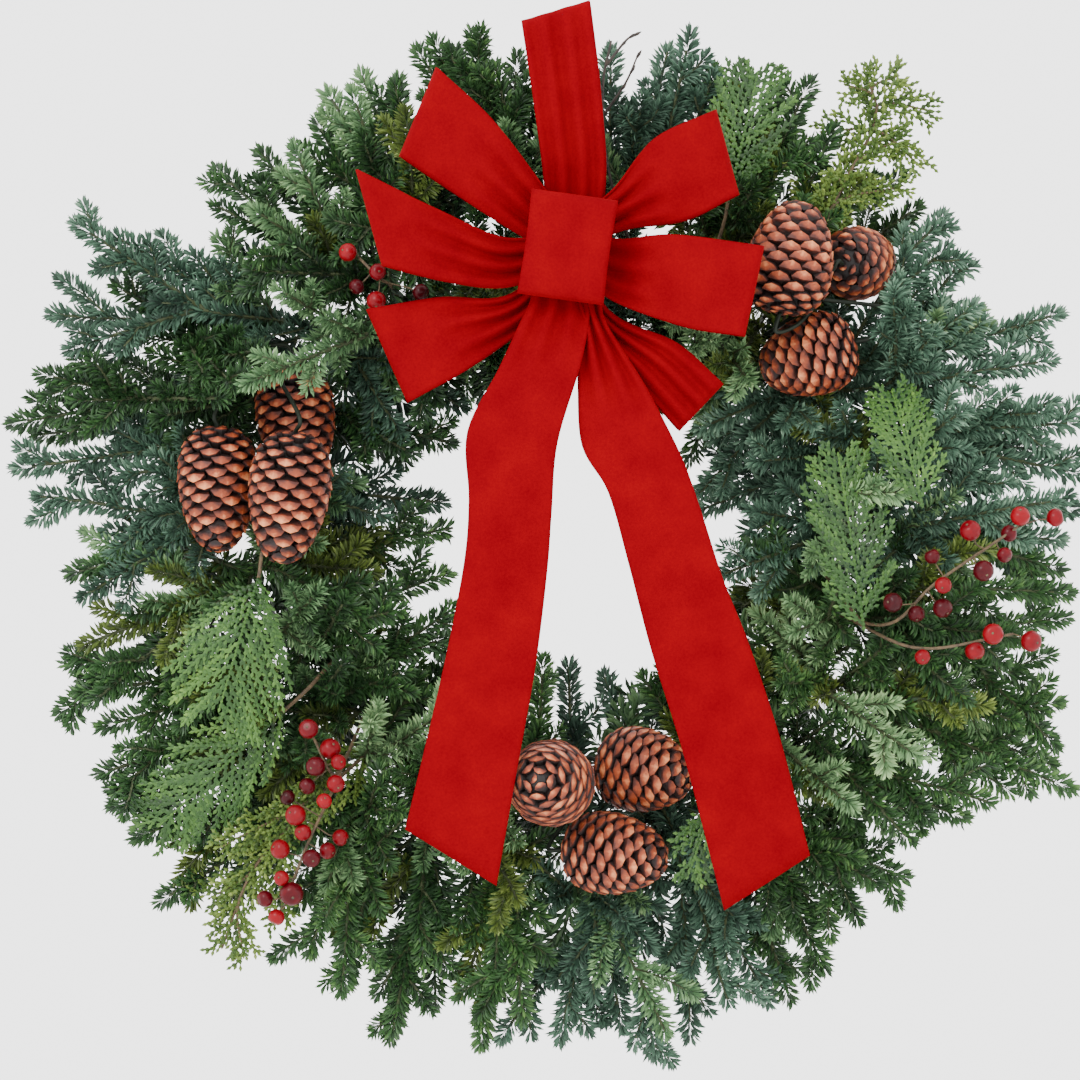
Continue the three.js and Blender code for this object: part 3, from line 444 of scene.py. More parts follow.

# %% [markdown]
# ### Cones, berries, velvet and steel
# A dry pine scale is warm brown on its thick tip. It is also painted near black in the gaps and
# lighter towards its free edge, as painted shade and painted light. A berry has a thin shiny skin.
# Velvet is a short dense pile, which glows at grazing angles, so it needs sheen. The ring and its
# wires are steel under green enamel.

# %% Cone, berry, velvet and steel materials
cone_wood, tree, shader = new_material("dry_pine_scale", 0.6, Specular_IOR_Level=0.3)
# Painted light and shade: the reach makes each scale near black in its gaps and lightest at its free
# edge.
cone_tone_and_painted_light = blended(tree, corner_value(tree, "reach"), corner_value(tree, "tone"), 0.2)
cone_tone_and_painted_light = blended(tree, cone_tone_and_painted_light, patches(tree, 2.0, 3.0), 0.15)
coloured(tree, shader, cone_tone_and_painted_light, [
    (0.1, "080201"), (0.4, "160503"), (0.6, "3e1408"), (0.76, "7a3316"), (0.93, "cd8252")])
raised(tree, shader, patches(tree, 1.4, 3.0), 0.4, 0.5)

berry_skin, tree, shader = new_material(
    "berry_skin", 0.34, Coat_Weight=0.03, Coat_Roughness=0.15, Specular_IOR_Level=0.12)
berry_tone = blended(tree, corner_value(tree, "tone"), patches(tree, 6.0), 0.35)
coloured(tree, shader, berry_tone, [(0.1, "1a0104"), (0.4, "3e0108"), (0.7, "66020c"), (1.0, "800411")])

velvet, tree, shader = new_material(
    "red_velvet_pile", 0.95, Sheen_Weight=0.12, Sheen_Roughness=0.35,
    Sheen_Tint=linear("ff0000"), Specular_IOR_Level=0.02)
pile = blended(tree, patches(tree, 26.0, 3.0), patches(tree, 1.6, 2.0), 0.4)
coloured(tree, shader, pile, [(0.2, "530007"), (0.5, "620008"), (0.8, "6f0009")])
raised(tree, shader, patches(tree, 1.1, 3.0), 0.35, 0.4)

# %% Enamel and floor paint
enamel, tree, shader = new_material("green_enamel_on_steel", 0.55, Specular_IOR_Level=0.15)
coloured(tree, shader, patches(tree, 12.0, 3.0), [(0.3, "0d120b"), (0.7, "181f16")])

floor_paint, tree, shader = new_material("floor_paint", 0.9)
coloured(tree, shader, patches(tree, 400.0), [(0.3, "f1f1f0"), (0.7, "f6f6f5")])
floor_mesh.materials.append(floor_paint)
print("materials:", len(bpy.data.materials))

# %% [markdown]
# ## Ring frame
# The boughs are held on a ring of two steel rails. Eight clamp straps cross behind them, and each
# strap's ends rise as prongs between the stems. The rails are turned rods; the straps are strips
# bent to a square U.

# %% Ring frame
OUTER_RAIL, INNER_RAIL, RAIL_WIRE = 203, 171, 4
RAIL_STEPS, RAIL_SIDES = 121, 10
BOUGHS, BOUGH_PITCH, FIRST_SEAT, BUTT_ARC = 24, 15, -5, 6
STRAP_WIDTH, STRAP_THICK, PRONG_RISE, PRONG_SHARE = 10, 1.6, 17, 0.55
RAIL_FRONT = RAIL_WIRE / 2 * math.sin(2 * math.pi / 5)
SEAT_GAP = 0.45
BACK_PLANE = RAIL_WIRE / 2 + STRAP_THICK


def ring_frame():
    parts = Parts()
    for radius in (OUTER_RAIL, INNER_RAIL):
        circle = [on_ring(a, radius, 0) for a in np.linspace(0, 360, RAIL_STEPS)]
        parts.add(*tube(circle, RAIL_WIRE / 2, RAIL_SIDES))
    inner, outer = INNER_RAIL - RAIL_WIRE, OUTER_RAIL + RAIL_WIRE
    rail_back, wall = -RAIL_WIRE / 2, inner + STRAP_THICK

    def mirrored(run):
        return [*run, *[(inner + outer - r, f) for r, f in run[::-1]]]

    path = mirrored([(inner, PRONG_RISE), (inner, 1.5), (inner + 0.6, -BACK_PLANE + 0.6),
                     (inner + 2.5, -BACK_PLANE)])
    inside = mirrored([(wall, PRONG_RISE), (wall, 1.0), (wall, rail_back + 0.2),
                       (inner + 3, rail_back)])
    for slot in range(2, BOUGHS, 3):
        turn = FIRST_SEAT + slot * BOUGH_PITCH + (BOUGH_PITCH - BUTT_ARC) / 2
        radial, along = on_ring(turn, 1, 0), on_ring(turn + 90, 1, 0)
        corners = []
        for (r0, f0), (r1, f1) in zip(path, inside):
            for radius, rise in ((r0, f0), (r1, f1)):
                for side in (-1, 1):
                    half = STRAP_WIDTH / 2 * (PRONG_SHARE if rise > PRONG_RISE - 1 else 1)
                    corners.append(radial * radius + FORWARD * rise + along * side * half)
        faces = []
        for i in range(len(path) - 1):
            a, b = 4 * i, 4 * i + 4
            for p, q in ((0, 1), (1, 3), (3, 2), (2, 0)):
                faces += [(a + p, a + q, b + q), (a + p, b + q, b + p)]
        end = 4 * (len(path) - 1)
        faces += [(0, 2, 3), (0, 3, 1), (end, end + 3, end + 2), (end, end + 1, end + 3)]
        parts.add(corners, faces)
    return parts.piece("ring_rails_and_clamps", [enamel], "ring_frame")


ring_frame()
tell("ring")


# %% Seats on a rail


def butt_on_rail(degrees, rail, radius, arc=BUTT_ARC):
    """The end of a stem or wire that lies along the front of a rail."""
    rise = RAIL_FRONT + SEAT_GAP + radius
    return [on_ring(degrees - arc * (1 - t), rail, rise) for t in (0, 0.5, 1)]


# %% [markdown]
# ## Pine cones
# A pine cone's scales spiral round its core by the golden angle. Each shows a diamond-shaped end
# with a cross ridge and a small point, and thins out behind to where it grows from the core. One
# such scale is made and set again and again, turned, sized and opened to suit its place.

# %% Hard things
solid_things = []


def keep_clear(points, radius):
    """Remembers where a hard thing is, so that no needle grows through it."""
    points = np.asarray(points, float)
    for a, b in zip(points[:-1], points[1:]):
        solid_things.append((a, b, radius))


# %% One scale of a cone
SCALE_SIDES, SCALE_HALF_HEIGHT = 8, 0.36


def one_scale():
    """A scale of unit width: x across, y towards the cone's tip, z outwards."""
    n, half = SCALE_SIDES, SCALE_HALF_HEIGHT
    turns = np.linspace(0, 2 * math.pi, n, endpoint=False)
    flat = np.stack([np.sign(v) * np.abs(v) ** 1.2 * size
                     for v, size in ((np.cos(turns), 0.5), (np.sin(turns), half))], 1)
    rings = [(0.4, -0.7, -0.1), (0.95, -0.12, -0.02), (1.0, 0.0, 0.0), (0.5, 0.08, 0.03)]
    keel = np.maximum(0, 1 - np.abs(flat[:, 1]) / half)
    # Painted light and shade: the face lightens towards its free edge, and the part behind is painted
    # near black.
    edge_painted_light = 0.6 + 0.38 * flat[:, 1] / half
    corners, reach = [[0, 0, -0.9]], [0.0]
    for size, height, lift in rings:
        up = np.full(n, height) + (0.08 * keel if height >= 0 else 0)
        corners += np.column_stack([flat * size + [0, lift], up]).tolist()
        reach += (edge_painted_light if height >= 0 else np.full(n, 0.06)).tolist()
    corners.append([0, 0.03, 0.2])
    reach.append(0.8)
    return np.array(corners), closed_rings(len(rings), n), np.array(reach)


SCALE_CORNERS, SCALE_FACES, SCALE_PAINTED_LIGHT = one_scale()


# %% A cone
SCALES_ON_A_CONE, OUTLINE_STEPS, CORE_SHARE, CLEAR_PARTS = 126, 200, 0.72, 6
OPEN_AT_BASE, LESS_AT_TIP, OPEN_BY_CHANCE = 44, 12, 8
GOLDEN = math.pi * (3 - math.sqrt(5))


def egg(length, width, turn):
    """Height and radius of a cone's outline; turn runs from 0 at its base to pi at its tip."""
    height = length * (0.5 - 0.5 * np.cos(turn))
    radius = width / 2 * np.sin(turn) ** 0.76 * (1 + 0.22 * np.cos(turn)) * 0.97
    return height, radius


def pine_cone(name, base, tip, width):
    draw = seeded(name)
    axis = tip - base
    length = np.linalg.norm(axis)
    along = axis / length
    across = unit(np.cross(along, FORWARD) + 1e-6)
    up = unit(np.cross(across, along))
    parts = Parts()
    turns = np.linspace(0.03, math.pi - 0.02, OUTLINE_STEPS)
    heights, radii = egg(length, width, turns)
    stops = np.arange(2, OUTLINE_STEPS - 1, 14)
    core = [base + along * heights[i] for i in stops]
    # The core is painted near black, as painted shade deep among the scales.
    parts.add(*tube(core, [radii[i] * CORE_SHARE for i in stops], 14), tone=0.1, reach=0.0)
    areas = np.cumsum((radii + width * 0.05) * np.hypot(np.gradient(heights), np.gradient(radii)))
    areas /= areas[-1]
    for k in range(SCALES_ON_A_CONE):
        place = np.interp((k + 0.5) / SCALES_ON_A_CONE, areas, turns)
        height, radius = egg(length, width, place)
        behind, ahead = np.clip([place - 0.04, place + 0.04], 0.02, 3.12)
        slope = unit(np.subtract(egg(length, width, ahead), egg(length, width, behind)))
        share = height / length
        turn = k * GOLDEN + draw.uniform(-0.05, 0.05)
        out = across * math.cos(turn) + up * math.sin(turn)
        aside = np.cross(along, out)
        tangent = along * slope[0] + out * slope[1]
        normal = out * slope[0] - along * slope[1]
        chance = draw.uniform(-OPEN_BY_CHANCE, OPEN_BY_CHANCE)
        opened = math.radians(OPEN_AT_BASE - LESS_AT_TIP * share + chance)
        opened *= 0.3 + 0.7 * math.sin(place)
        face = unit(normal * math.cos(opened) - tangent * math.sin(opened))
        rise = unit(np.cross(face, aside))
        size = width * (0.11 + 0.18 * math.sin(place) ** 0.8)
        seat = base + along * height + out * radius * 0.93
        local = SCALE_CORNERS * size
        corners = seat + local[:, :1] * aside + local[:, 1:2] * rise + local[:, 2:] * face
        # Each scale gets its painted light and shade from its reach.
        parts.add(corners, SCALE_FACES, 0, draw.uniform(0.1, 0.95), SCALE_PAINTED_LIGHT)
    for i in range(CLEAR_PARTS):
        radius = egg(length, width, max((i + 0.5) / CLEAR_PARTS * math.pi, 0.7))[1]
        keep_clear([base + axis * i / CLEAR_PARTS, base + axis * (i + 1) / CLEAR_PARTS],
                   radius * 0.95 + width * 0.06)
    return parts.piece(name.replace("cone", "pine_cone"), [cone_wood], name)


# %% Cone groups and their wires
# Each group: its wire, the wire's seat on the rail, its bends and its fork, then the cones with their
# base, tip, width and a bend of the cone's own wire.
CONE_GROUPS = [
    ("cone_wire_left", 296, [(-176, 112, 25), (-206, 132, 24)], (-212, 138, 62), [
        ("cone_left_top", (-190, 124, 57), (-181, 42, 62), 54),
        ("cone_left_outer", (-240, 80, 86), (-239, -6, 92), 55),
        ("cone_left_inner", (-184, 76, 122), (-194, -14, 118), 56)]),
    ("cone_wire_right", 40, [(122, 132, 20)], (182, 170, 88), [
        ("cone_right_top", (153, 160, 118), (168, 236, 112), 60, (166, 152, 108)),
        ("cone_right_low", (206, 140, 84), (142, 120, 84), 56, (232, 163, 76)),
        ("cone_right_side", (198, 195, 88), (226, 198, 18), 50)]),
    ("cone_wire_bottom", 177, [(3, -178, 24)], (12, -186, 64), [
        ("cone_bottom_left", (0, -170, 92), (-16, -164, 165), 58),
        ("cone_bottom_right", (30, -156, 62), (90, -165, 92), 58),
        ("cone_bottom_low", (5, -215, 84), (73, -221, 110), 56)]),
]


WIRE_RADIUS, WIRE_ARC = 1.5, 5


def florist_wire(name, lines, node):
    parts = Parts()
    for line in lines:
        parts.add(*tube(smooth_line(line, 30), WIRE_RADIUS, 8))
    return parts.piece(name, [enamel], node, smooth=True)


for wire, seat, around, middle, cones in CONE_GROUPS:
    centre = at(*middle)
    start = butt_on_rail(seat, INNER_RAIL, WIRE_RADIUS, WIRE_ARC)
    lines = [[*start, *spots(around), centre]]
    for name, base, tip, width, *via in cones:
        base, tip = at(*base), at(*tip)
        pine_cone(name, base, tip, width)
        lead = unit(tip - base)
        lines.append([centre, *spots(via), base - lead * 14, base - lead * 0.4])
    florist_wire(wire.replace("cone_wire", "wired_stalks"), lines, wire)
tell("pine_cone")

# %% [markdown]
# ## Velvet bow
# The bow is one kind of wired ribbon, 63.5 mm wide. A loop is a length of it doubled back on
# itself: gathered into pleats where the knot holds it, puffed in the middle, with a soft turn at
# its far end. Each loop is drawn from its two edges, and pleats add back the width that the knot
# pinches away.

# %% Ribbon helpers
RIBBON_WIDTH = 63.5
RIBBON_THICK = 1.2
CAD_THICK = 1.6
FOLD_RADIUS, FOLD_STEPS = 5, 9
PINCH = 0.28
ACROSS = 21


def ribbon_mesh(rows, thick=RIBBON_THICK):
    """A closed thin strip through rows of points that run from one edge to the other."""
    grid = np.array(rows)
    count, wide = grid.shape[:2]
    lengthwise = np.gradient(grid, axis=0)
    crosswise = np.gradient(grid, axis=1)
    normals = unit(np.cross(lengthwise, crosswise))
    edge = np.minimum(np.arange(wide), np.arange(wide)[::-1])
    swell = np.where(edge == 0, 1.25, 1.0)[None, :, None] * thick / 2
    top, bottom = grid + normals * swell, grid - normals * swell
    corners = np.concatenate([top.reshape(-1, 3), bottom.reshape(-1, 3)])
    i, j = np.meshgrid(np.arange(count - 1), np.arange(wide - 1), indexing="ij")
    a = (i * wide + j).ravel()
    b, c, d = a + 1, a + wide + 1, a + wide
    low = count * wide
    faces = [quads(a, b, c, d), quads(a, b, c, d)[:, [1, 0, 2]] + low]
    for j0 in (0, wide - 1):
        p = np.arange(count - 1) * wide + j0
        q = p + wide
        faces.append(quads(p, q, q + low, p + low) if j0 == 0 else quads(q, p, p + low, q + low))
    for i0 in (0, count - 1):
        p = i0 * wide + np.arange(wide - 1)
        q = p + 1
        faces.append(quads(q, p, p + low, q + low) if i0 == 0 else quads(p, q, q + low, p + low))
    faces = np.concatenate(faces)[:, ::-1]
    length = np.linalg.norm(np.diff(grid[:, wide // 2], axis=0), axis=1).sum()
    return corners, faces, length


def ribbon_piece(name, node, rows, thick=RIBBON_THICK):
    corners, faces, length = ribbon_mesh(rows, thick)
    parts = Parts()
    parts.add(corners, faces)
    thing = parts.piece(name, [velvet], node, smooth=True)
    print(name, "ribbon of", round(length), "mm")
    return thing


# %% Tie wire
FIRST_LOOP_LEVEL, TIE_GAP = 143.6, 0.8
tie_level = FIRST_LOOP_LEVEL - CAD_THICK - WIRE_RADIUS - TIE_GAP
tie_line = [
    *butt_on_rail(-4, INNER_RAIL, WIRE_RADIUS, WIRE_ARC),
    *spots([(-8, 172, 22), (-7, 190, 90), (-6, 205, tie_level - 4), (5, 207, tie_level),
            (14, 205, tie_level - 4), (17, 190, 90), (18, 172, 22)]),
    *butt_on_rail(12, INNER_RAIL, WIRE_RADIUS, WIRE_ARC)[::-1],
]
tie_wire = florist_wire("bow_wire_tie", [tie_line], "bow_tie_wire")

# %% Bow loops
# Each loop: name, level in front of the ring, lean, puff, then its upper and lower edge in x and z.
LOOPS = [
    ("bow_loop_top", FIRST_LOOP_LEVEL, -4, 15,
     [(-8, 188), (-11, 246), (-18, 302), (-26, 356)], [(18, 188), (31, 246), (28, 309), (21, 370)]),
    ("bow_loop_lower_left", 147.6, -5, 15,
     [(4, 208), (-35, 171), (-84, 169), (-129, 162)], [(4, 182), (-22, 150), (-60, 122), (-101, 99)]),
    ("bow_loop_lower_right", 147.6, -5, 15,
     [(5, 208), (35, 159), (80, 138), (109, 113)], [(5, 182), (26, 146), (54, 110), (79, 81)]),
    ("bow_loop_upper_left", 151.6, -4, 17,
     [(4, 222), (-12, 246), (-46, 291), (-82, 325)], [(4, 196), (-28, 212), (-72, 240), (-107, 264)]),
    ("bow_loop_upper_right", 151.6, -4, 17,
     [(5, 222), (36, 243), (64, 278), (103, 297)], [(5, 196), (42, 215), (86, 222), (119, 238)]),
    ("bow_loop_mid_left", 155.6, 24, 19,
     [(4, 215), (-38, 210), (-84, 229), (-136, 254)], [(4, 190), (-38, 176), (-80, 180), (-118, 189)]),
    ("bow_loop_mid_right", 155.6, 22, 19,
     [(5, 215), (41, 209), (77, 212), (135, 204)], [(5, 190), (36, 167), (84, 149), (122, 142)]),
]
LOOP_STEPS = 26


# %% Pleats and loops


def pleated(width, shares, phase, waves=3, fill=0.9):
    """Heights across a ribbon that is pinched to a width, so that its cut width is nearly kept."""
    gathered = min(max(fill * RIBBON_WIDTH / width, 1.0), 2.4)
    height = width / (2 * math.pi * waves) * math.sqrt((gathered ** 2 - 1) / 0.45)
    return height * np.sin(shares * 2 * math.pi * waves + phase) * np.sin(shares * math.pi) ** 0.2


def edge_curve(points):
    return smooth_line([at(x, z, 0) for x, z in points], LOOP_STEPS)


def bow_loop(name, depth, lean, puff, upper_edge, lower_edge):
    draw = seeded(name)
    upper, lower = edge_curve(upper_edge), edge_curve(lower_edge)
    shares = np.linspace(0, 1, ACROSS)
    waves = draw.uniform(0, 2 * math.pi, 3)

    def row(i, side):
        t = i / (LOOP_STEPS - 1)
        opened = max(0.0, (t - PINCH) / (1 - PINCH))
        part = CAD_THICK / 2 + 0.2 + puff / 2 * math.sin(opened * math.pi * 0.62) ** 2
        rise = depth + lean * opened ** 2 + side * part
        pleats = pleated(np.linalg.norm(upper[i] - lower[i]), shares, waves[0])
        swell = (2.2 if side > 0 else -1.5) * math.sin(math.pi * min(t * 1.1, 1))
        bell = np.sin(shares * math.pi) * swell
        ripple = 1.1 * np.sin(shares * 7 + waves[1] + 3 * t) * opened
        heights = rise + pleats + bell + ripple
        line = upper[i] + (lower[i] - upper[i]) * shares[:, None]
        return line + FORWARD * heights[:, None]

    front, back = ([row(i, side) for i in range(LOOP_STEPS)] for side in (1, -1))
    outward = unit(front[-1] - front[-2] + back[-1] - back[-2])
    fold = []
    for share in np.linspace(0, 1, FOLD_STEPS)[1:-1]:
        turn = share * math.pi
        fold.append(front[-1] + (back[-1] - front[-1]) * (1 - math.cos(turn)) / 2
                    + outward * FOLD_RADIUS * math.sin(turn))
    rows = front + fold + back[::-1]
    return ribbon_piece(name.replace("bow_loop", "velvet_loop"), name, rows)


for loop in LOOPS:
    bow_loop(*loop)

# %% Bow tails
# Rows down each tail: x and z of its left edge, x and z of its right edge, and forward.
TAILS = {
    "bow_tail_left": [
        (-16, 200, 14, 200, 162.4), (-20, 168, 18, 168, 162.4), (-28, 150, 20, 155, 165),
        (-42, 120, 14, 122, 171), (-64, 76, -2, 68, 178), (-63, 30, -6, 20, 176),
        (-66, -12, -9, -20, 170), (-78, -75, -17, -85, 164), (-93, -140, -30, -158, 164),
        (-107, -198, -44, -237, 168)],
    "bow_tail_right": [
        (2, 200, 28, 198, 158.6), (6, 168, 28, 166, 158.8), (12, 150, 33, 148, 162.5),
        (12, 108, 58, 108, 168), (15, 66, 82, 62, 170), (33, 34, 96, 24, 176), (47, -15, 112, -25, 172),
        (63, -76, 130, -70, 166), (86, -150, 152, -137, 164), (113, -254, 172, -216, 168)],
}
TAIL_STEPS = 64


def bow_tail(name, wave):
    table = np.array(TAILS[name], float)
    left, right = (smooth_line(spots(table[:, columns]), TAIL_STEPS)
                   for columns in ([0, 1, 4], [2, 3, 4]))
    shares = np.linspace(0, 1, ACROSS)
    rows = []
    for i, (a, b) in enumerate(zip(left, right)):
        t = i / (TAIL_STEPS - 1)
        lift = 1.5 * np.sin(shares * math.pi) + pleated(np.linalg.norm(a - b), shares, wave)
        lift = lift + 0.9 * np.sin(shares * 4 + t * 9 + wave) * min(t * 4, 1)
        rows.append(a + (b - a) * shares[:, None] + FORWARD * lift[:, None])
    return ribbon_piece(name.replace("bow_tail", "velvet_tail"), name, rows)


bow_tail("bow_tail_left", 0.4)
bow_tail("bow_tail_right", 2.1)

# %% [markdown]
# The knot is the same ribbon wrapped once round the middle of the bow, from top to bottom. It is
# drawn as a band that follows a rounded oblong, with its sides drawn in a little and a few soft
# tension creases.

# %% Bow knot
KNOT_STEPS = 72


def bow_knot():
    wide, tall, back, front, turn = 60, 74, 165.5, 190, math.radians(-8)
    middle = at(5, 203, (back + front) / 2)
    depth = front - back
    along_x = np.array([math.cos(turn), 0, math.sin(turn)])
    along_z = np.array([-math.sin(turn), 0, math.cos(turn)])
    shares = np.linspace(-1, 1, ACROSS)
    rows = []
    for a in np.linspace(math.pi, 3 * math.pi, KNOT_STEPS):
        c, s = math.cos(a), math.sin(a)
        z = tall / 2 * np.sign(s) * abs(s) ** 0.38 * 0.97
        f = depth / 2 * np.sign(c) * abs(c) ** 0.42 * 0.94
        pull = 1 - 0.05 * (1 - abs(z) / (tall / 2))
        crease = 0.7 * np.sin(shares * 9 + a * 2) * (0.4 + abs(s)) if f > 0 else 0
        sink = (2.4 * np.abs(shares) ** 5 + 1.2 * (z / tall * 2) ** 4) * (f > 0)
        place = middle + along_z * z
        rows.append(place + along_x * (shares * wide / 2 * pull)[:, None]
                    + FORWARD * (f - sink + crease - 0.6)[:, None])
    return ribbon_piece("velvet_knot", "bow_knot", rows, 1.0)


bow_knot()
tell("velvet")

# %% [markdown]
# ## Berries
# Holly-like berries sit at the ends of short stalks on a branched woody stem. Each berry is a
# slightly squashed ball with a small dark eye, which is the dried end of its flower.

# %% A berry
BALL_BANDS, BALL_SIDES, EYE_HEIGHT = 9, 14, 0.74


def berry_ball():
    """A unit ball whose far end, +z, is dimpled round a small eye."""
    corners = [[0, 0, -1]]
    for i in range(1, BALL_BANDS):
        polar = math.pi * i / BALL_BANDS
        radius, height = math.sin(polar), -math.cos(polar)
        dent = 0.16 * max(0.0, (height - 0.72) / 0.28) ** 2
        for j in range(BALL_SIDES):
            turn = 2 * math.pi * j / BALL_SIDES
            corners.append([radius * math.cos(turn), radius * math.sin(turn), height * 0.96 - dent])
    corners.append([0, 0, EYE_HEIGHT])
    return np.array(corners), closed_rings(BALL_BANDS - 1, BALL_SIDES)


BALL_CORNERS, BALL_FACES = berry_ball()

# %% Berry sprays
# Each spray: its node, its seat on the rail, the stem's bends, side branches (where they start, a bend,
# the end), then the berries as x, z, forward and radius.
BERRIES = [
    ("berries_right", 101, [(226, -58, 96), (262, -28, 118), (318, 10, 116)],
     [(0.6, (250, -74, 112), (316, -64, 112))],
     [(345, 17, 116, 6.5), (320, 18, 122, 7), (285, 8, 126, 7.5), (294, -20, 130, 7.5),
      (259, -10, 118, 5.5), (266, -30, 130, 6), (266, -46, 124, 7), (231, -42, 130, 7),
      (328, -69, 118, 7.5), (301, -64, 124, 7.5), (289, -76, 112, 7), (252, -80, 122, 5.5),
      (309, -9, 124, 5.5), (248, -50, 118, 6), (313, 6, 112, 6)]),
    ("berries_lower_left", 228, [(-160, -176, 96), (-174, -206, 112), (-190, -246, 104)],
     [(0.6, (-158, -162, 112), (-172, -136, 114))],
     [(-175, -130, 122, 7), (-160, -144, 118, 7.5), (-170, -156, 124, 7), (-156, -168, 124, 6.5),
      (-184, -190, 122, 7.5), (-195, -214, 116, 7), (-173, -220, 124, 6.5), (-153, -206, 112, 6),
      (-187, -245, 116, 8.5), (-206, -249, 106, 6), (-198, -262, 104, 6), (-176, -170, 118, 6),
      (-154, -153, 126, 5.5), (-179, -202, 120, 6), (-162, -215, 116, 6), (-190, -178, 112, 5.5),
      (-164, -180, 126, 5.5), (-194, -234, 118, 5.5)]),
    ("berries_upper_left", 322, [(-116, 176, 84), (-126, 184, 106), (-140, 198, 104)],
     [],
     [(-148, 202, 110, 6.5), (-127, 188, 118, 6), (-142, 178, 108, 5.5), (-128, 168, 114, 7),
      (-97, 174, 112, 6)]),
]


SPINE_STEPS, FIRST_BEARING = 48, 22


def berry_spray(name, seat, points, sides, berries):
    draw = seeded(name)
    parts = Parts()
    butt, bend = butt_on_rail(seat, INNER_RAIL, 1.5), on_ring(seat + 2, INNER_RAIL + 3, 24)
    spine = smooth_line([*butt, bend, *spots(points)], SPINE_STEPS)
    parts.rod(spine, (1.6, 1.0), 7)
    bearing = [spine[FIRST_BEARING:]]
    for share, halfway, end in sides:
        side = smooth_line([spine[int(share * (SPINE_STEPS - 1))], at(*halfway), at(*end)], 20)
        parts.rod(side, (1.3, 0.9))
        bearing.append(side)
    bearing = np.concatenate(bearing)
    for x, z, forward, size in berries:
        centre = at(x, z, forward)
        nearest = bearing[np.argmin(np.linalg.norm(bearing - centre, axis=1))]
        out = unit(centre - nearest + FORWARD * 3 + draw.normal(0, 1.5, 3))
        halfway = (nearest + centre) / 2 + draw.normal(0, 1.2, 3)
        stalk = smooth_line([nearest, halfway, centre - out * size * 0.9], 7)
        parts.rod(stalk, (0.55, 0.55), 5)
        side = unit(np.cross(out, [0.3, 0.2, 0.9]))
        up = np.cross(out, side)
        local = BALL_CORNERS * size
        ball = centre + local[:, :1] * side + local[:, 1:2] * up + local[:, 2:] * out
        parts.add(ball, BALL_FACES, 0, draw.uniform(0.05, 0.95))
        eye = centre + out * size * EYE_HEIGHT
        parts.rod([eye - out * 0.5, eye + out * 0.5], (size * 0.13, size * 0.13))
        keep_clear([centre, centre + FORWARD], size + 1.5)
    new_name = name.replace("berries", "berry_spray")
    return parts.piece(new_name, [berry_skin, twig_bark], name, smooth=True)


for spray in BERRIES:
    berry_spray(*spray)
tell("berry")

# %% [markdown]
# ## Fir needles
# A fir shoot is a thin twig hidden in needles, nearly three to each millimetre, set round it by the
# golden angle like a bottle brush. A needle is a slim blade with a ridge on top, widest towards its
# blunt tip: four triangles, worked out for a whole shoot at once. Those that would grow through a
# cone, a berry or the ribbon, or into the door or the hole, are left off. They are combed a little
# to both sides and twisted at their roots to show their upper faces, as on a living fir.

# %% Room for needles
RIBBON_LEVEL, OPEN_LEVEL, BOW_HALF_WIDTH = 127, 150, 156
HOLE_RADIUS = 74


def clear_of_things(points, margin=0.0):
    """True for each point outside hard things and the hole, in front of the door, behind the bow."""
    level = np.where(np.abs(points[:, 0]) < BOW_HALF_WIDTH, RIBBON_LEVEL, OPEN_LEVEL)
    good = (points[:, 1] < 1.5) & (points[:, 1] > -level)
    good &= np.hypot(points[:, 0], points[:, 2]) > HOLE_RADIUS
    low, high = points.min(0) - margin, points.max(0) + margin
    for a, b, radius in solid_things:
        if np.any(np.maximum(a, b) + radius < low) or np.any(np.minimum(a, b) - radius > high):
            continue
        span = b - a
        share = np.clip((points - a) @ span / max(span @ span, 1e-9), 0, 1)
        good &= np.linalg.norm(points - a - share[:, None] * span, axis=1) > radius + margin
    return good


# %% Fir needles
NEEDLE_LENGTH, NEEDLE_WIDTH, NEEDLE_THICK, NEEDLE_PITCH = 13, 2.3, 0.7, 0.35
NEEDLE_TILT, TILT_SPREAD, TONE_SPREAD = 54, 13, 0.16
BLUNT_END = 7
COMBED = 0.5


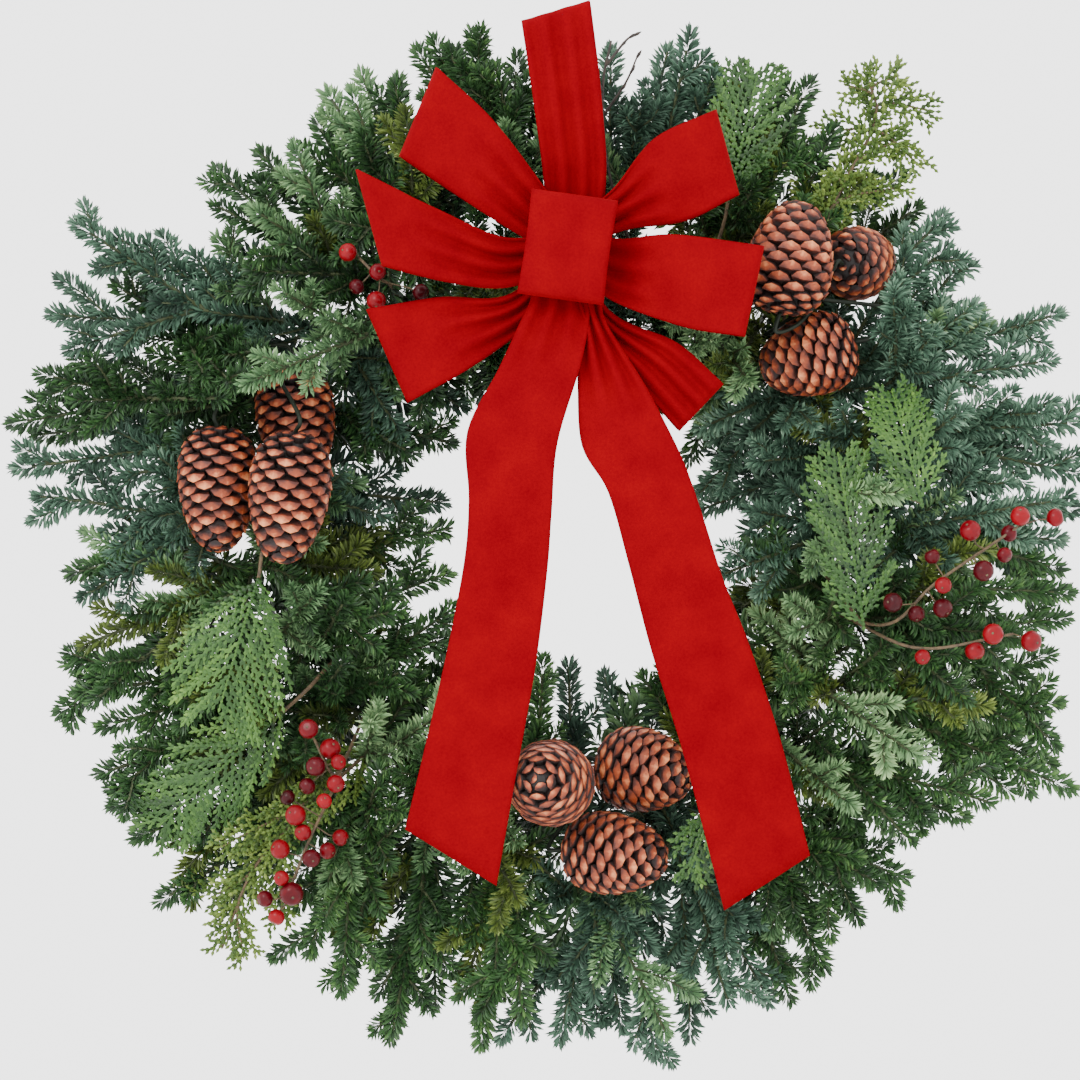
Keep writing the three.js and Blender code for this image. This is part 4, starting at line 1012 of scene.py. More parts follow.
def needles(parts, line, draw, tone, size=1.0, kind=0, long=1.0):
    """Needles all along a line. tone is the shoot's own shade, long how much longer they are."""
    places, tangents, shares, total = dense(line, NEEDLE_PITCH * long ** 1.6)
    count = len(places)
    side, ahead = across_frame(tangents)
    turns = np.arange(count) * GOLDEN + draw.uniform(0, 6) + draw.normal(0, 0.25, count)
    radial = unit(side * np.cos(turns)[:, None] + ahead * np.sin(turns)[:, None] * COMBED)
    near_end = np.clip(1 - (1 - shares) * total / BLUNT_END, 0, 1)
    angle = np.radians(NEEDLE_TILT + draw.normal(0, TILT_SPREAD, count)) * (1 - 0.65 * near_end)
    length = NEEDLE_LENGTH * size * long * (1 - 0.2 * near_end) * draw.uniform(0.78, 1.05, count)
    length = length * (0.75 + 0.25 * np.minimum(shares * 8, 1))
    heading = unit(radial * np.sin(angle)[:, None] + tangents * np.cos(angle)[:, None]
                   + ahead * 0.08 + draw.normal(0, 0.05, (count, 3)))
    tips = places + heading * length[:, None]
    keep = clear_of_things(tips) & clear_of_things((places + tips) / 2)
    upper = unit(ahead * 0.9 + radial * 0.5 + draw.normal(0, 0.3, (count, 3)))
    places, tips, heading, upper, length = (v[keep] for v in (places, tips, heading, upper, length))
    count = len(places)
    if count == 0:
        return
    wide = unit(np.cross(upper, heading)) * NEEDLE_WIDTH / 2 * size * long
    low = unit(np.cross(wide, heading)) * NEEDLE_THICK * size
    middles = places + heading * (length * 0.68)[:, None] + low
    corners = np.stack([places, tips, middles + wide, middles - wide], axis=1).reshape(-1, 3)
    faces = copies([(0, 1, 2), (0, 3, 1), (0, 2, 3), (1, 3, 2)], 4, count)
    shade = np.clip(tone + draw.normal(0, TONE_SPREAD, count), 0.02, 0.98)
    # Painted shade: each needle's reach runs from its dark root to its light tip.
    parts.add(corners, faces, kind, np.repeat(shade, 4), np.tile([0, 1.0, 0.8, 0.8], count))


# %% [markdown]
# ## Fir boughs
# A bough is a bent stem with a leader, one or two side shoots, a shoot towards the hole and mostly
# one on its front. Each bears small twiglets left and right, like a feather, and needles cover them
# all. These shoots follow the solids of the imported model: every branch line is tried with small
# shifts, and the one that runs closest to the solid is kept.

# %% Shoots that follow the solids
PUSHES = [0, 10, -10, 20, -20, 30, -30, 40, -40]


def solid_of(node):
    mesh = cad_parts[node].data
    corners = [v.co.copy() for v in mesh.vertices]
    return BVHTree.FromPolygons(corners, [tuple(p.vertices) for p in mesh.polygons])


def branch_line(start, leaving, tip, arch, steps=24, lift=1.0):
    length = np.linalg.norm(tip - start)
    heading = unit(leaving * [1, lift, 1])
    p1 = start + heading * length * 0.33
    p2 = start + (tip - start) * 0.68 + FORWARD * arch
    t = np.linspace(0, 1, steps + 1)[:, None]
    return (1 - t) ** 3 * start + 3 * (1 - t) ** 2 * t * p1 + 3 * (1 - t) * t ** 2 * p2 + t ** 3 * tip


def moved(tip, push, swing):
    along = unit(np.array([tip[2], 0, -tip[0]]))
    spot = tip + FORWARD * push + along * swing
    spot[1] = min(spot[1], -2.3)
    return spot


def line_in_solid(tree, start, leaving, tip, arch):
    best, least = None, 1e9
    for lift in (1.0, 0.45, 0.15):
        for push in PUSHES:
            for swing in (0, 8, -8):
                line = branch_line(start, leaving, moved(tip, push, swing), arch, 24, lift)
                off = sum(tree.find_nearest(Vector(p))[3] for p in in_frame(line[3::3]))
                if off < least:
                    best, least = line, off
    return best


# %% Tips of the boughs
# Each bough: its colour, its outer tips, its tip towards the hole and its tips at the front.
FIR_TIPS = [
    ("fir", [(-78, 346, 30), (-45, 334, 55)], (-20, 105, 30), []),
    ("blueFir", [(84, 345, 42), (50, 306, 60)], (42, 112, 30), []),
    ("fir", [(124, 320, 30), (168, 296, 24)], (75, 90, 35), []),
    ("fir", [(222, 258, 16), (254, 222, 34)], (92, 60, 30), [(120, 112, 78)]),
    ("blueFir", [(272, 168, 62), (333, 152, 40)], (96, 42, 50), [(245, 120, 100)]),
    ("blueFir", [(346, 98, 70), (349, 58, 38)], (102, 15, 25), [(275, 66, 98)]),
    ("blueFir", [(345, 20, 62), (336, -18, 30)], (116, -14, 55), []),
    ("fir", [(334, -62, 50), (334, -100, 26)], (118, -42, 30), [(262, -50, 96)]),
    ("fir", [(335, -132, 48), (345, -165, 28)], (100, -75, 60), [(180, -110, 98)]),
    ("fir", [(300, -182, 55), (245, -208, 90)], (78, -92, 30), [(168, -172, 104)]),
    ("fir", [(228, -234, 40), (198, -264, 72)], (52, -100, 55), [(150, -205, 90)]),
    ("blueFir", [(160, -302, 36), (118, -322, 64)], (24, -98, 28), [(105, -225, 105)]),
    ("blueFir", [(66, -345, 38), (24, -318, 72)], (-2, -88, 55), []),
    ("fir", [(-18, -334, 30), (-46, -318, 62)], (-26, -97, 28), [(-30, -250, 102)]),
    ("fir", [(-88, -326, 30), (-118, -345, 52)], (-52, -86, 55), [(-85, -180, 98)]),
    ("fir", [(-146, -318, 34), (-176, -288, 60)], (-64, -66, 28), [(-130, -215, 98)]),
    ("fir", [(-228, -262, 30), (-268, -236, 50)], (-74, -46, 60), [(-165, -150, 84)]),
    ("fir", [(-298, -206, 34), (-312, -176, 60)], (-80, -22, 30), [(-230, -165, 92)]),
    ("fir", [(-328, -112, 36), (-334, -72, 62)], (-76, 2, 58), [(-140, -50, 92)]),
    ("blueFir", [(-335, -38, 36), (-366, 32, 60)], (-84, 28, 30), [(-290, 0, 84)]),
    ("fir", [(-370, 76, 34), (-340, 100, 62)], (-78, 70, 55), [(-275, 60, 92)]),
    ("blueFir", [(-362, 154, 42), (-312, 214, 60)], (-70, 96, 30), []),
    ("fir", [(-245, 229, 50), (-205, 280, 30)], (-60, 110, 50), [(-215, 190, 96)]),
    ("fir", [(-178, 282, 58), (-140, 330, 36), (-116, 322, 60)], (-42, 118, 30), [(-160, 225, 92)]),
]

# %% [markdown]
# ### More shoots
# The imported solids hold only the main shoots. The rest of each bough is filled up here, with a set of
# shoots that every bough has, and with short ones wherever the photo shows more foliage. The shoots
# at the very back have longer needles set further apart, which closes the gaps with few triangles.
# They are also painted darker, as painted shade behind the front shoots.

# %% Shoots between the main ones
# More shoots of each bough: their place on its leader, then the tip's radius, degrees from the bough's
# seat and forward, and the longest twiglet. Those of the second list lie at the very back.
FILLS = [
    (4, 132, -5, 72, 46), (4, 146, 6, 46, 46), (5, 178, 8, 96, 44), (6, 236, -8, 92, 44),
    (9, 300, -6, 66, 46), (10, 322, 6, 40, 46),
]
BACK_FILLS = [
    (3, 140, 2, 20, 50), (6, 262, -5, 18, 56), (7, 292, 7, 30, 52), (2, 214, 9, 14, 50),
    (4, 176, -8, 34, 50),
]
# %% Short extra shoots
# Short shoots where the photo shows foliage and a bough has none yet. Eight numbers each: the start's
# and the tip's x, z and forward, the longest twiglet and the look.
EXTRAS = {
    1: [-58, 240, 40, -52, 330, 62, 34, 0,  -30, 236, 36, -8, 320, 30, 34, 0,
        -60, 260, 44, -88, 352, 56, 36, 0,  -44, 260, 40, -62, 358, 46, 36, 0,
        -34, 250, 36, -30, 342, 40, 32, 0,  -70, 210, 40, -38, 228, 66, 28, 0],
    2: [40, 232, 40, 58, 312, 66, 36, 0,  70, 240, 40, 92, 358, 50, 36, 0,
        30, 240, 30, 36, 346, 40, 32, 0,  93, 286, 50, 108, 329, 50, 28, 0],
    3: [100, 226, 44, 104, 296, 40, 36, 3,  116, 214, 40, 166, 276, 50, 40, 0,
        120, 200, 56, 136, 250, 90, 36, 0,  120, 220, 30, 128, 334, 26, 36, 0,
        140, 220, 30, 152, 318, 26, 36, 0,  130, 220, 40, 176, 324, 44, 36, 0,
        94, 290, 46, 108, 333, 46, 28, 0],
    4: [100, 170, 56, 132, 112, 116, 34, 2,  176, 186, 40, 238, 236, 60, 38, 3,
        196, 170, 50, 262, 204, 62, 40, 0,  150, 206, 44, 206, 268, 56, 38, 3,
        160, 200, 40, 192, 290, 50, 36, 0,  190, 190, 50, 250, 250, 50, 36, 0,
        200, 150, 40, 258, 180, 60, 36, 0,  210, 210, 46, 242, 242, 46, 28, 0,
        224, 190, 50, 259, 220, 50, 28, 0,  230, 200, 30, 252, 236, 40, 30, 0],
    5: [222, 100, 84, 236, 184, 118, 38, 0,  228, 86, 76, 262, 146, 98, 40, 0,
        240, 150, 70, 272, 206, 60, 34, 0,  236, 96, 76, 232, 176, 120, 30, 0,
        244, 171, 50, 282, 197, 50, 28, 0,  252, 143, 56, 292, 166, 56, 28, 0,
        236, 200, 40, 271, 230, 40, 28, 0,  309, 142, 50, 351, 161, 50, 28, 0,
        255, 141, 46, 296, 163, 46, 28, 2,  170, 120, 30, 196, 84, 44, 28, 0],
    6: [226, 40, 80, 282, 92, 112, 44, 0,  240, -46, 96, 238, 34, 118, 22, 2,
        270, 90, 70, 366, 84, 60, 36, 0,  270, 60, 70, 368, 48, 50, 36, 0,
        260, 110, 70, 346, 128, 50, 36, 0,  220, 60, 60, 170, 92, 56, 34, 3,
        206, 72, 30, 178, 104, 40, 28, 3],
    7: [270, 20, 60, 366, 24, 50, 36, 0,  270, 0, 60, 354, 2, 40, 36, 0,
        240, -10, 50, 214, -24, 76, 30, 0,  200, 14, 30, 168, 46, 46, 28, 0],
    8: [190, -90, 60, 196, -30, 96, 36, 0,  210, -70, 50, 284, -110, 92, 40, 0,
        270, -40, 50, 358, -36, 56, 36, 0,  260, -60, 50, 356, -54, 44, 36, 0,
        190, -90, 50, 202, -66, 70, 30, 0,  307, -125, 50, 349, -143, 50, 28, 0,
        306, -16, 50, 352, -19, 50, 28, 0,  205, -100, 30, 194, -58, 46, 28, 0,
        212, -44, 30, 216, -10, 50, 28, 0,  230, -40, 40, 240, 8, 56, 28, 0],
    9: [190, -110, 60, 250, -150, 100, 40, 2,  260, -100, 50, 352, -114, 44, 36, 0,
        250, -130, 50, 360, -174, 50, 36, 0,  190, -120, 50, 212, -140, 72, 30, 0,
        277, -154, 50, 317, -176, 50, 28, 0,  180, -86, 30, 206, -72, 50, 28, 0],
    10: [150, -140, 60, 204, -184, 112, 30, 2,  200, -160, 60, 284, -194, 60, 38, 0,
         180, -210, 50, 166, -184, 72, 28, 0],
    11: [180, -180, 60, 242, -236, 60, 38, 0,  140, -220, 50, 186, -300, 50, 38, 0,
         142, -281, 50, 162, -322, 50, 28, 0,  156, -221, 50, 183, -259, 50, 28, 0],
    12: [80, -196, 50, 52, -140, 44, 34, 0,  60, -200, 40, 96, -128, 36, 34, 0,
         120, -230, 50, 148, -324, 44, 38, 0,  80, -250, 50, 92, -348, 50, 38, 0,
         40, -180, 50, 18, -134, 40, 26, 0,  98, -216, 34, 72, -242, 36, 24, 0],
    13: [6, -202, 44, 30, -140, 36, 34, 0,  20, -206, 60, -10, -246, 96, 36, 0,
         30, -250, 50, 44, -342, 44, 36, 0,  20, -250, 50, 0, -350, 44, 36, 0,
         10, -250, 50, -14, -228, 66, 26, 0,  -36, -303, 50, -41, -349, 50, 28, 0,
         59, -317, 46, 67, -362, 46, 28, 0,  0, -240, 50, -18, -262, 50, 28, 0],
    14: [-40, -198, 44, -22, -140, 36, 34, 0,  -50, -196, 60, -30, -210, 108, 36, 2,
         -10, -190, 50, -12, -84, 60, 30, 0,  -40, -240, 50, -56, -354, 50, 36, 0,
         -30, -230, 50, -6, -206, 52, 28, 0,  -30, -236, 50, -12, -266, 56, 30, 0,
         -34, -220, 40, -8, -240, 44, 24, 0],
    15: [-90, -240, 50, -120, -350, 44, 36, 0,  -111, -275, 50, -128, -318, 50, 28, 0,
         -84, -270, 50, -76, -304, 50, 28, 0],
    16: [-120, -230, 50, -152, -314, 50, 38, 0,  -130, -220, 50, -108, -192, 72, 28, 0,
         -120, -190, 50, -126, -158, 70, 30, 0,  -247, -222, 50, -281, -253, 50, 28, 0,
         -158, -218, 50, -185, -256, 50, 28, 0],
    17: [-150, -120, 40, -232, -120, 60, 44, 0,  -140, -130, 44, -206, -176, 70, 44, 3,
         -220, -150, 60, -314, -186, 56, 36, 0,  -210, -170, 60, -298, -208, 56, 36, 0,
         -282, -143, 50, -323, -163, 50, 28, 0,  -124, -90, 40, -82, -68, 50, 26, 0],
    18: [-190, -60, 30, -262, -110, 60, 46, 0,  -180, -90, 60, -150, -40, 96, 36, 0,
         -240, -90, 50, -338, -106, 56, 36, 0,  -230, -110, 50, -322, -130, 56, 36, 0,
         -309, -105, 50, -352, -120, 50, 28, 0,  -180, -60, 30, -186, -100, 46, 28, 0],
    19: [-298, -19, 50, -344, -22, 50, 28, 0,  -302, -75, 50, -347, -86, 50, 28, 0,
         -232, 14, 40, -224, -20, 48, 30, 0],
    20: [-290, 60, 60, -382, 52, 50, 36, 0,  -269, 42, 50, -315, 49, 50, 28, 0,
         -260, 40, 50, -290, 34, 50, 28, 0],
    21: [-276, 130, 60, -226, 108, 128, 36, 0,  -262, 150, 60, -248, 116, 108, 34, 0,
         -290, 110, 60, -364, 118, 60, 36, 0,  -280, 100, 60, -386, 84, 40, 36, 0,
         -160, 80, 60, -104, 62, 70, 34, 0,  -262, 120, 60, -206, 134, 118, 34, 0,
         -290, 110, 60, -234, 100, 114, 24, 0,  -250, 100, 40, -212, 66, 34, 28, 0,
         -273, 157, 56, -312, 180, 56, 28, 0,  -245, 114, 50, -287, 133, 50, 28, 0,
         -298, 113, 56, -341, 129, 56, 28, 0],
    22: [-120, 146, 84, -218, 110, 134, 40, 2,  -130, 170, 60, -196, 176, 112, 30, 2,
         -280, 150, 60, -344, 136, 60, 36, 0,  -250, 150, 60, -340, 224, 60, 36, 0,
         -230, 170, 50, -258, 202, 50, 28, 0],
    23: [-150, 210, 50, -186, 276, 84, 40, 2,  -170, 190, 60, -214, 232, 96, 36, 2,
         -190, 200, 60, -242, 262, 50, 34, 0,  -142, 276, 46, -164, 317, 46, 28, 2],
    24: [-120, 232, 50, -146, 316, 66, 40, 2,  -104, 226, 60, -108, 300, 84, 40, 3,
         -130, 190, 50, -94, 178, 84, 30, 0,  -140, 180, 50, -118, 164, 84, 26, 0,
         -88, 301, 50, -100, 346, 50, 28, 0,  -148, 257, 46, -171, 296, 46, 28, 0,
         -49, 195, 56, -60, 240, 56, 28, 0],
}
# %% Twiglets


def twiglets(line, draw, first, last, longest, spacing, tilt=48):
    """Side twigs of a shoot, left and right in turn, longest near its base."""
    places, tangents, _, total = dense(line, 2.0)
    side, ahead = across_frame(tangents)
    out = []
    hand = draw.choice([-1, 1])
    stop = first * total + draw.uniform(0, spacing)
    while stop < last * total:
        i = min(int(stop / total * (len(places) - 1)), len(places) - 1)
        share = stop / total
        shorter = 1.0 - 0.4 * (share - first) / max(last - first, 1e-6)
        size = longest * shorter * draw.uniform(0.75, 1.1)
        roll = draw.normal(0.2, 0.45)
        sideways = unit(side[i] * hand * math.cos(roll) + ahead[i] * math.sin(roll))
        lean = math.radians(tilt + draw.normal(0, 6))
        start = places[i]
        leave = unit(sideways * math.sin(lean) + tangents[i] * math.cos(lean))
        finish = unit(leave + tangents[i] * 0.3 + ahead[i] * draw.normal(0.05, 0.12))
        middle = start + leave * size * 0.5
        out.append(smooth_line([start, middle, middle + finish * size * 0.5], 8))
        hand = -hand
        stop += spacing * draw.uniform(0.8, 1.25)
    return out


# %% Brushes
# How deep a twig may reach into a hard thing.
TWIG_MAY_TOUCH = 3


def free_part(line):
    """A shoot's line up to where it would run into a cone, a berry or the ribbon."""
    blocked = np.flatnonzero(~clear_of_things(line, -TWIG_MAY_TOUCH))
    return line[:blocked[0]] if len(blocked) else line


def brush(parts, line, draw, tone, thick, size=1.0, bare=0.0, kind=0, long=1.0, sides=4):
    """A shoot: its twig and the needles round it."""
    line = free_part(np.asarray(line))
    if len(line) < 4:
        return
    core = line[::3] if len(line) > 9 else line[::2]
    parts.rod(core, thick, sides)
    needles(parts, line[int(len(line) * bare):], draw, tone, size, kind, long)


# %% Fir boughs
STEM_RADIUS = 3.0
# How much longer the back shoots' needles are, and how much darker they are painted, as painted shade
# at the back.
LONG_NEEDLED, BACK_PAINTED_SHADE = 1.45, 0.22
TWIG_PITCH, TWIG_NEEDLES = 30, 0.94
# How much lighter than the rest a bough is.
LIGHTER = {5: 0.07, 6: 0.09, 7: 0.09, 20: -0.08, 21: -0.08, 22: -0.12}
# Looks that a shoot is drawn from: 0 is the bough's own colour, 2 a pale shoot, 3 an olive one.
SHOOT_LOOKS = {"fir": [0, 0, 0, 0, 2, 3], "blueFir": [0, 0, 0, 0, 0, 2]}
# Each kind of shoot: where it leaves the leader, how far it arches forward, how much of it is bare and
# its longest twiglet.
LEADER, SIDE, INNER, FRONT = (0, 12, 0.2, 66), (9, 8, 0.05, 54), (3, 10, 0.1, 48), (6, 14, 0.1, 48)


def fir_bough(index, tone_name, outer, inner, front):
    node = f"fir_bough_{index + 1:02d}"
    draw = np.random.default_rng(100 + index)
    tree = solid_of(node)
    seat = FIRST_SEAT + index * BOUGH_PITCH
    butt = butt_on_rail(seat, OUTER_RAIL, STEM_RADIUS)
    leaving = unit(butt[2] - butt[1])
    rise = unit(leaving * 0.5 + FORWARD)
    leader = [butt[2]]

    def new_shoot(kind, leave, tip):
        stop, arch, bare, longest = kind
        return line_in_solid(tree, leader[stop], leave, at(*tip), arch), bare, longest

    shoots = [new_shoot(LEADER, rise, outer[0])]
    leader = shoots[0][0]
    shoots += [new_shoot(SIDE, unit(leader[9] - leader[6]), tip) for tip in outer[1:]]
    shoots.append(new_shoot(INNER, unit(unit(at(*inner) - leader[3]) + FORWARD), inner))
    shoots += [new_shoot(FRONT, rise, tip) for tip in front]
    parts = Parts()
    stem = smooth_line([butt[0] - (butt[1] - butt[0]) * 0.4, *butt, leader[2]], 16)
    parts.rod(stem, (STEM_RADIUS, 2.3), 8)
    base = draw.normal(0.5, 0.06) + LIGHTER.get(index + 1, 0)
    for stop, radius, turn, forward, longest in FILLS + BACK_FILLS:
        turn, radius = turn + draw.normal(0, 2), radius + draw.normal(0, 8)
        tip = on_ring(seat + turn, radius, forward + draw.normal(0, 6))
        start = leader[stop]
        leave = unit(unit(tip - start) + FORWARD * 0.5)
        shoots.append((branch_line(start, leave, tip, 8, 20), 0.15, longest))
    kinds, in_front = SHOOT_LOOKS[tone_name], len(shoots) - len(BACK_FILLS)
    shoots = [(*shoot, int(draw.choice(kinds)), number >= in_front)
              for number, shoot in enumerate(shoots)]
    bearing = np.concatenate([free_part(line)[4:] for line, *_ in shoots])
    for row in np.reshape(EXTRAS.get(index + 1, []), (-1, 8)):
        start, tip, (longest, look) = at(*row[:3]), at(*row[3:6]), row[6:]
        start = bearing[np.argmin(np.linalg.norm(bearing - start, axis=1))]
        line = branch_line(start, unit(tip - start + FORWARD * 12), tip, 6, 20)
        shoots.append((line, 0.05, longest, int(look), False))
    for line, bare, longest, look, behind in shoots:
        # Back shoots are painted darker: painted shade.
        long, shade = (LONG_NEEDLED, base - BACK_PAINTED_SHADE) if behind else (1.0, base)
        line = free_part(line)
        if len(line) < 4:
            continue
        brush(parts, line, draw, shade + draw.normal(0, 0.06), (2.0, 0.9), 1.0, bare, look, long)
        for twig in twiglets(line, draw, max(bare - 0.05, 0.05), 0.88, longest, TWIG_PITCH):
            if clear_of_things(twig[-2:], 3).all():
                twig_shade = shade + draw.normal(0, 0.1)
                brush(parts, twig, draw, twig_shade, (1.3, 0.7), TWIG_NEEDLES, 0.0, look, long, 3)
    blue = tone_name == "blueFir"
    needle_look, slot = (blue_fir_needles, "blue_fir") if blue else (fir_needles, "fir")
    materials = [needle_look, green_bark, pale_fir_needles, olive_fir_needles]
    return parts.piece(f"fir_spray_{index + 1:02d}", materials, node)


for index, row in enumerate(FIR_TIPS):
    fir_bough(index, *row)
tell("fir")

# %% [markdown]
# ## Cedar and juniper
# Cedar leaves are tiny scales pressed flat to the twig, so a spray looks like a fern cut from paper.
# Each twig is drawn as a row of small overlapping diamonds, and twigs branch twice in one flat,
# slightly arched fan. Juniper has the same scales on rounder, wispier twigs that branch every way.

# %% Scale leaves


def scale_row(parts, line, draw, width, thick, tone, face=None, step=3.0):
    """A twig of scale leaves: overlapping flattened diamonds along a line."""
    places, tangents, shares, _ = dense(line, step)
    middles, tangents = (places[:-1] + places[1:]) / 2, tangents[:-1]
    shares = shares[:-1]
    keep = clear_of_things(middles)
    middles, tangents, shares = middles[keep], tangents[keep], shares[keep]
    count = len(middles)
    if count == 0:
        return
    side, ahead = across_frame(tangents)
    if face is not None:
        side = unit(np.cross(tangents, face) + 1e-9)
        ahead = unit(np.cross(side, tangents))
    size = (1 - 0.35 * shares)[:, None]
    half = tangents * step * 0.78
    widest, out, up = middles + half * 0.2, side * width / 2 * size, ahead * thick / 2 * size
    corners = np.stack([middles - half, middles + half * 1.15, widest + out, widest - out,
                        middles + up, middles - up], axis=1).reshape(-1, 3)
    block = [(0, 4, 2), (0, 3, 4), (0, 2, 5), (0, 5, 3), (1, 2, 4), (1, 4, 3), (1, 5, 2), (1, 3, 5)]
    faces = copies(block, 6, count)
    shade = np.clip(tone + draw.normal(0, 0.08, count), 0.02, 0.98)
    # Painted shade: the reach darkens each scale leaf towards the twig's root.
    parts.add(corners, faces, 0, np.repeat(shade, 6), np.repeat(0.25 + 0.75 * shares, 6))


# %% Cedar sprays
CEDAR_ARCH, TWIG_STEP, SPRIG_STEP = 10.0, 3.8, 3.4
# Each spray: its node, its seat on the rail, root, tip, width and tone.
CEDARS = [
    ("cedar_top_right", 28, (118, 238, 60), (140, 332, 52), 78, 0.38),
    ("cedar_right_high", 66, (252, 24, 124), (232, 106, 96), 62, 0.55),
    ("cedar_right", 88, (212, -62, 110), (194, 62, 104), 78, 0.48),
    ("cedar_left", 262, (-210, -22, 92), (-238, -118, 110), 108, 0.5),
    ("cedar_lower_left", 240, (-192, -117, 80), (-282, -200, 70), 92, 0.4),
    ("cedar_bottom", 150, (106, -184, 108), (88, -234, 124), 44, 0.5),
]


# %% A cedar fan


def cedar_fan(parts, root, tip, width, draw, tone):
    axis = tip - root
    length = np.linalg.norm(axis)
    along = axis / length
    across = unit(np.cross(FORWARD, along))
    face = unit(np.cross(along, across))

    def place(u, w):
        arch = CEDAR_ARCH * math.sin(math.pi * min(max(u / length, 0), 1)) - 0.004 * w * w
        return root + along * u + across * w + face * arch

    rib = [place(u, 0) for u in np.linspace(0, length, 14)]
    scale_row(parts, rib, draw, 3.2, 1.8, tone + 0.05, face)
    stop, hand = length * 0.04, 1
    while stop < length * 0.97:
        t = stop / length
        reach = width / 2 * math.sin(math.pi * (0.28 + 0.66 * t)) ** 0.8 * draw.uniform(0.85, 1.1) / 0.8
        angle = math.radians(43 + draw.normal(0, 4))
        ahead, aside = reach * math.cos(angle), hand * reach * math.sin(angle)
        run = [(stop + ahead * s * (1 + 0.15 * s), aside * s * (1 - 0.12 * s))
               for s in np.linspace(0, 1, 7)]
        droop, shift = draw.normal(0, 3.0), draw.normal(-0.04, 0.15)
        twig = [place(u, w) + face * droop * (k / 6) ** 2 for k, (u, w) in enumerate(run)]
        scale_row(parts, twig, draw, 3.6, 1.4, tone + shift, face, 3.8)
        small, inner_hand, inner_stop = min(reach * 0.34, 8.5), 1, 0.1
        while inner_stop < 0.93:
            step = int(inner_stop * 6)
            heading = np.subtract(run[step + 1], run[step])
            start = run[step] + heading * (inner_stop * 6 - step)
            lean = inner_hand * math.radians(38 + draw.normal(0, 5))
            turn = math.atan2(heading[1], heading[0]) + lean
            reach2 = small * (1.1 - 0.7 * inner_stop) * draw.uniform(0.8, 1.15)
            end = start + reach2 * np.array([math.cos(turn), math.sin(turn)])
            lift = face * droop * inner_stop ** 2
            sprig = [place(*start) + lift, place(*((start + end) / 2)) + lift, place(*end) + lift]
            scale_row(parts, sprig, draw, 3.1, 1.2, tone + shift + draw.normal(0.09, 0.08), face, 3.2)
            inner_hand, inner_stop = -inner_hand, inner_stop + SPRIG_STEP / max(reach, 12)
        hand, stop = -hand, stop + TWIG_STEP * draw.uniform(0.85, 1.15)


# %% Cedar stalks


def cedar_spray(name, seat, root, tip, width, tone):
    draw = seeded(name)
    parts = Parts()
    root, tip = at(*root), at(*tip)
    lead = unit(tip - root)
    bend = on_ring(seat + 3, INNER_RAIL + 2, 30)
    before = [root - lead * 22] if (root - bend) @ lead > 0 else []
    stalk = smooth_line([*butt_on_rail(seat, INNER_RAIL, 2), bend, *before, root + lead * 4], 30)
    parts.rod(stalk, (2.0, 1.3), 7)
    cedar_fan(parts, root, tip, width, draw, tone)
    return parts.piece(name.replace("cedar", "cedar_spray"), [cedar_scales, twig_bark], name)


for spray in CEDARS:
    cedar_spray(*spray)
tell("cedar")

# %% Juniper sprigs
# Each sprig: its node, its seat on the rail, the stem's bends, then its branches as their start on the
# stem and their tip.
JUNIPERS = [
    ("juniper_upper_right", 50, [(190, 232, 62), (222, 296, 50), (217, 330, 42)],
     [(0.5, 240, 250, 74), (0.55, 196, 256, 66), (0.6, 240, 284, 60), (0.68, 256, 262, 74),
      (0.72, 184, 290, 40), (0.8, 262, 304, 58), (0.86, 200, 322, 64), (0.9, 240, 330, 36)]),
    ("juniper_lower_left", 219, [(-168, -178, 72), (-214, -228, 70), (-238, -286, 60)],
     [(0.45, -238, -214, 84), (0.6, -196, -268, 60), (0.75, -248, -252, 52), (0.85, -222, -292, 76)]),
]


# %% A juniper sprig


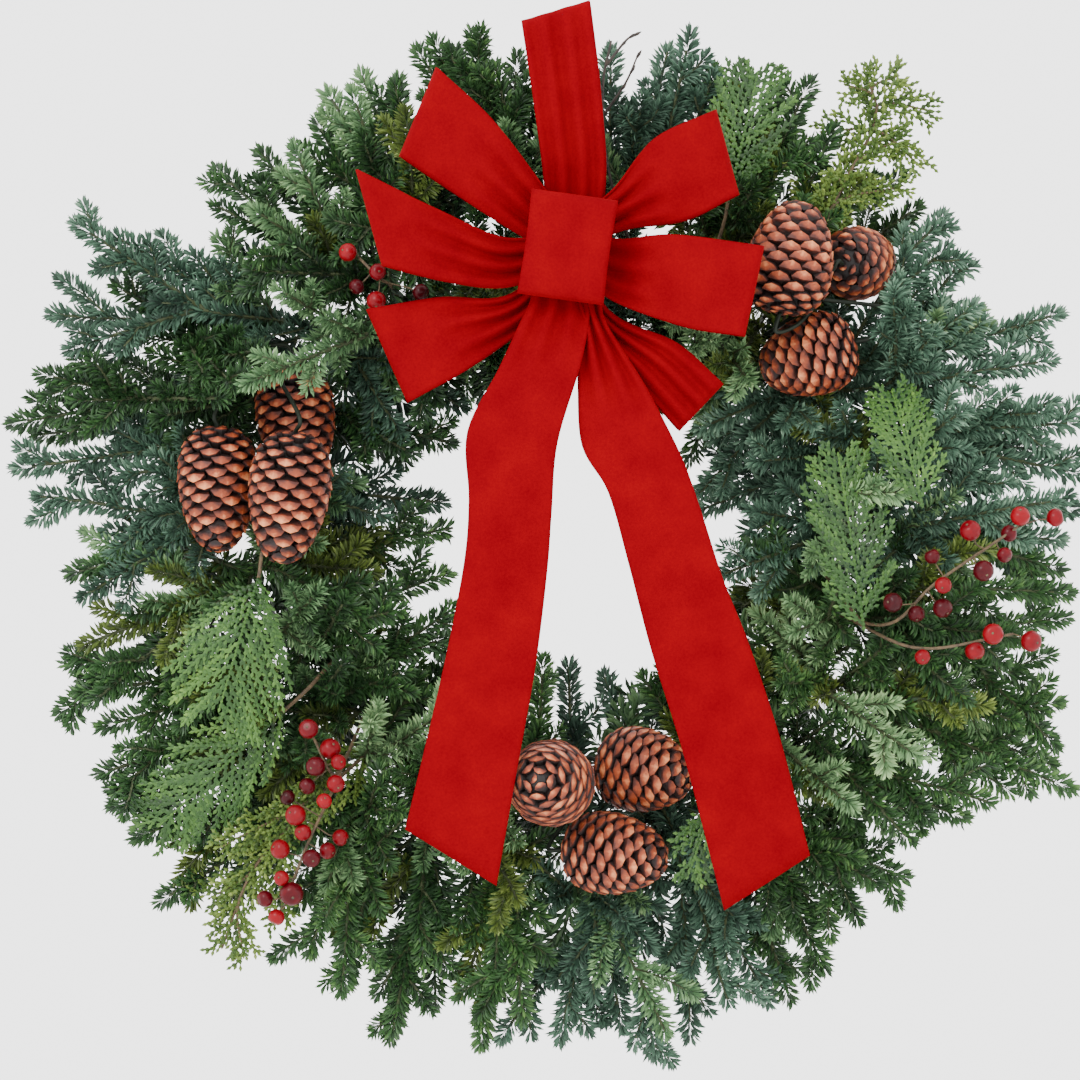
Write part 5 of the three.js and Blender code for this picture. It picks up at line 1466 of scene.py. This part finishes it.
def juniper_sprig(name, seat, points, branches):
    draw = seeded(name)
    parts = Parts()
    butt = butt_on_rail(seat, INNER_RAIL, 1.8)
    spine = smooth_line([butt[2], on_ring(seat + 2, INNER_RAIL + 3, 26), *spots(points)], 41)
    stem = np.vstack([butt[:2], spine])
    parts.rod(stem, (1.9, 0.9), 7)
    shoots = [(spine[12:], 32)]
    for share, *tip in branches:
        i = 2 * round(share * 20)
        line = branch_line(spine[i], unit(spine[i + 1] - spine[i - 1]), at(*tip), 4)
        parts.rod(line[::3], (1.2, 0.6), 5)
        shoots.append((line, 26))
    for line, longest in shoots:
        scale_row(parts, line, draw, 3.2, 2.8, 0.5)
        for twig in twiglets(line, draw, 0.1, 0.98, longest, 4.4, 42):
            scale_row(parts, twig, draw, 3.5, 2.8, draw.normal(0.5, 0.14), step=3.6)
            for small in twiglets(twig, draw, 0.15, 0.95, 11, 3.6, 42):
                scale_row(parts, small, draw, 3.2, 2.6, draw.normal(0.6, 0.14), step=3.4)
    new_name = name.replace("juniper", "juniper_sprig")
    return parts.piece(new_name, [juniper_scales, twig_bark], name)


for sprig in JUNIPERS:
    juniper_sprig(*sprig)
tell("juniper")

# %% [markdown]
# ## Bare twig
# One leafless twig stands up behind the top loop, with a few buds.

# %% Bare twig


def bare_twig():
    parts = Parts()
    bends = spots([(56, 190, 30), (34, 262, 66), (30, 318, 76), (36, 352, 74)])
    main = smooth_line([*butt_on_rail(21, INNER_RAIL, 1.8), *bends], 50)
    parts.rod(main, (1.9, 0.8), 7, kind=0)
    sides = [[(31, 300, 73), (46, 322, 80), (54, 340, 78)],
             [(30, 316, 76), (22, 334, 84), (22, 348, 86)],
             [(32, 334, 76), (46, 352, 70), (52, 356, 68)]]
    for side in sides:
        line = smooth_line(spots(side), 14)
        parts.rod(line, (1.1, 0.6), kind=0)
        for i in (5, 9, 13):
            bud = unit(line[i] - line[i - 1] + at(2, 1, 1) * (0.4 if i % 2 else -0.4))
            parts.add(*tube([line[i], line[i] + bud * 3, line[i] + bud * 6], [0.9, 1.2, 0.3], 6))
    return parts.piece("dry_twig", [dry_bark], "bare_twig", smooth=True)


bare_twig()

# %% Finish
total = sum(made.values())
print("pieces:", len(made), "triangles:", total, "largest:", max(made.values()))
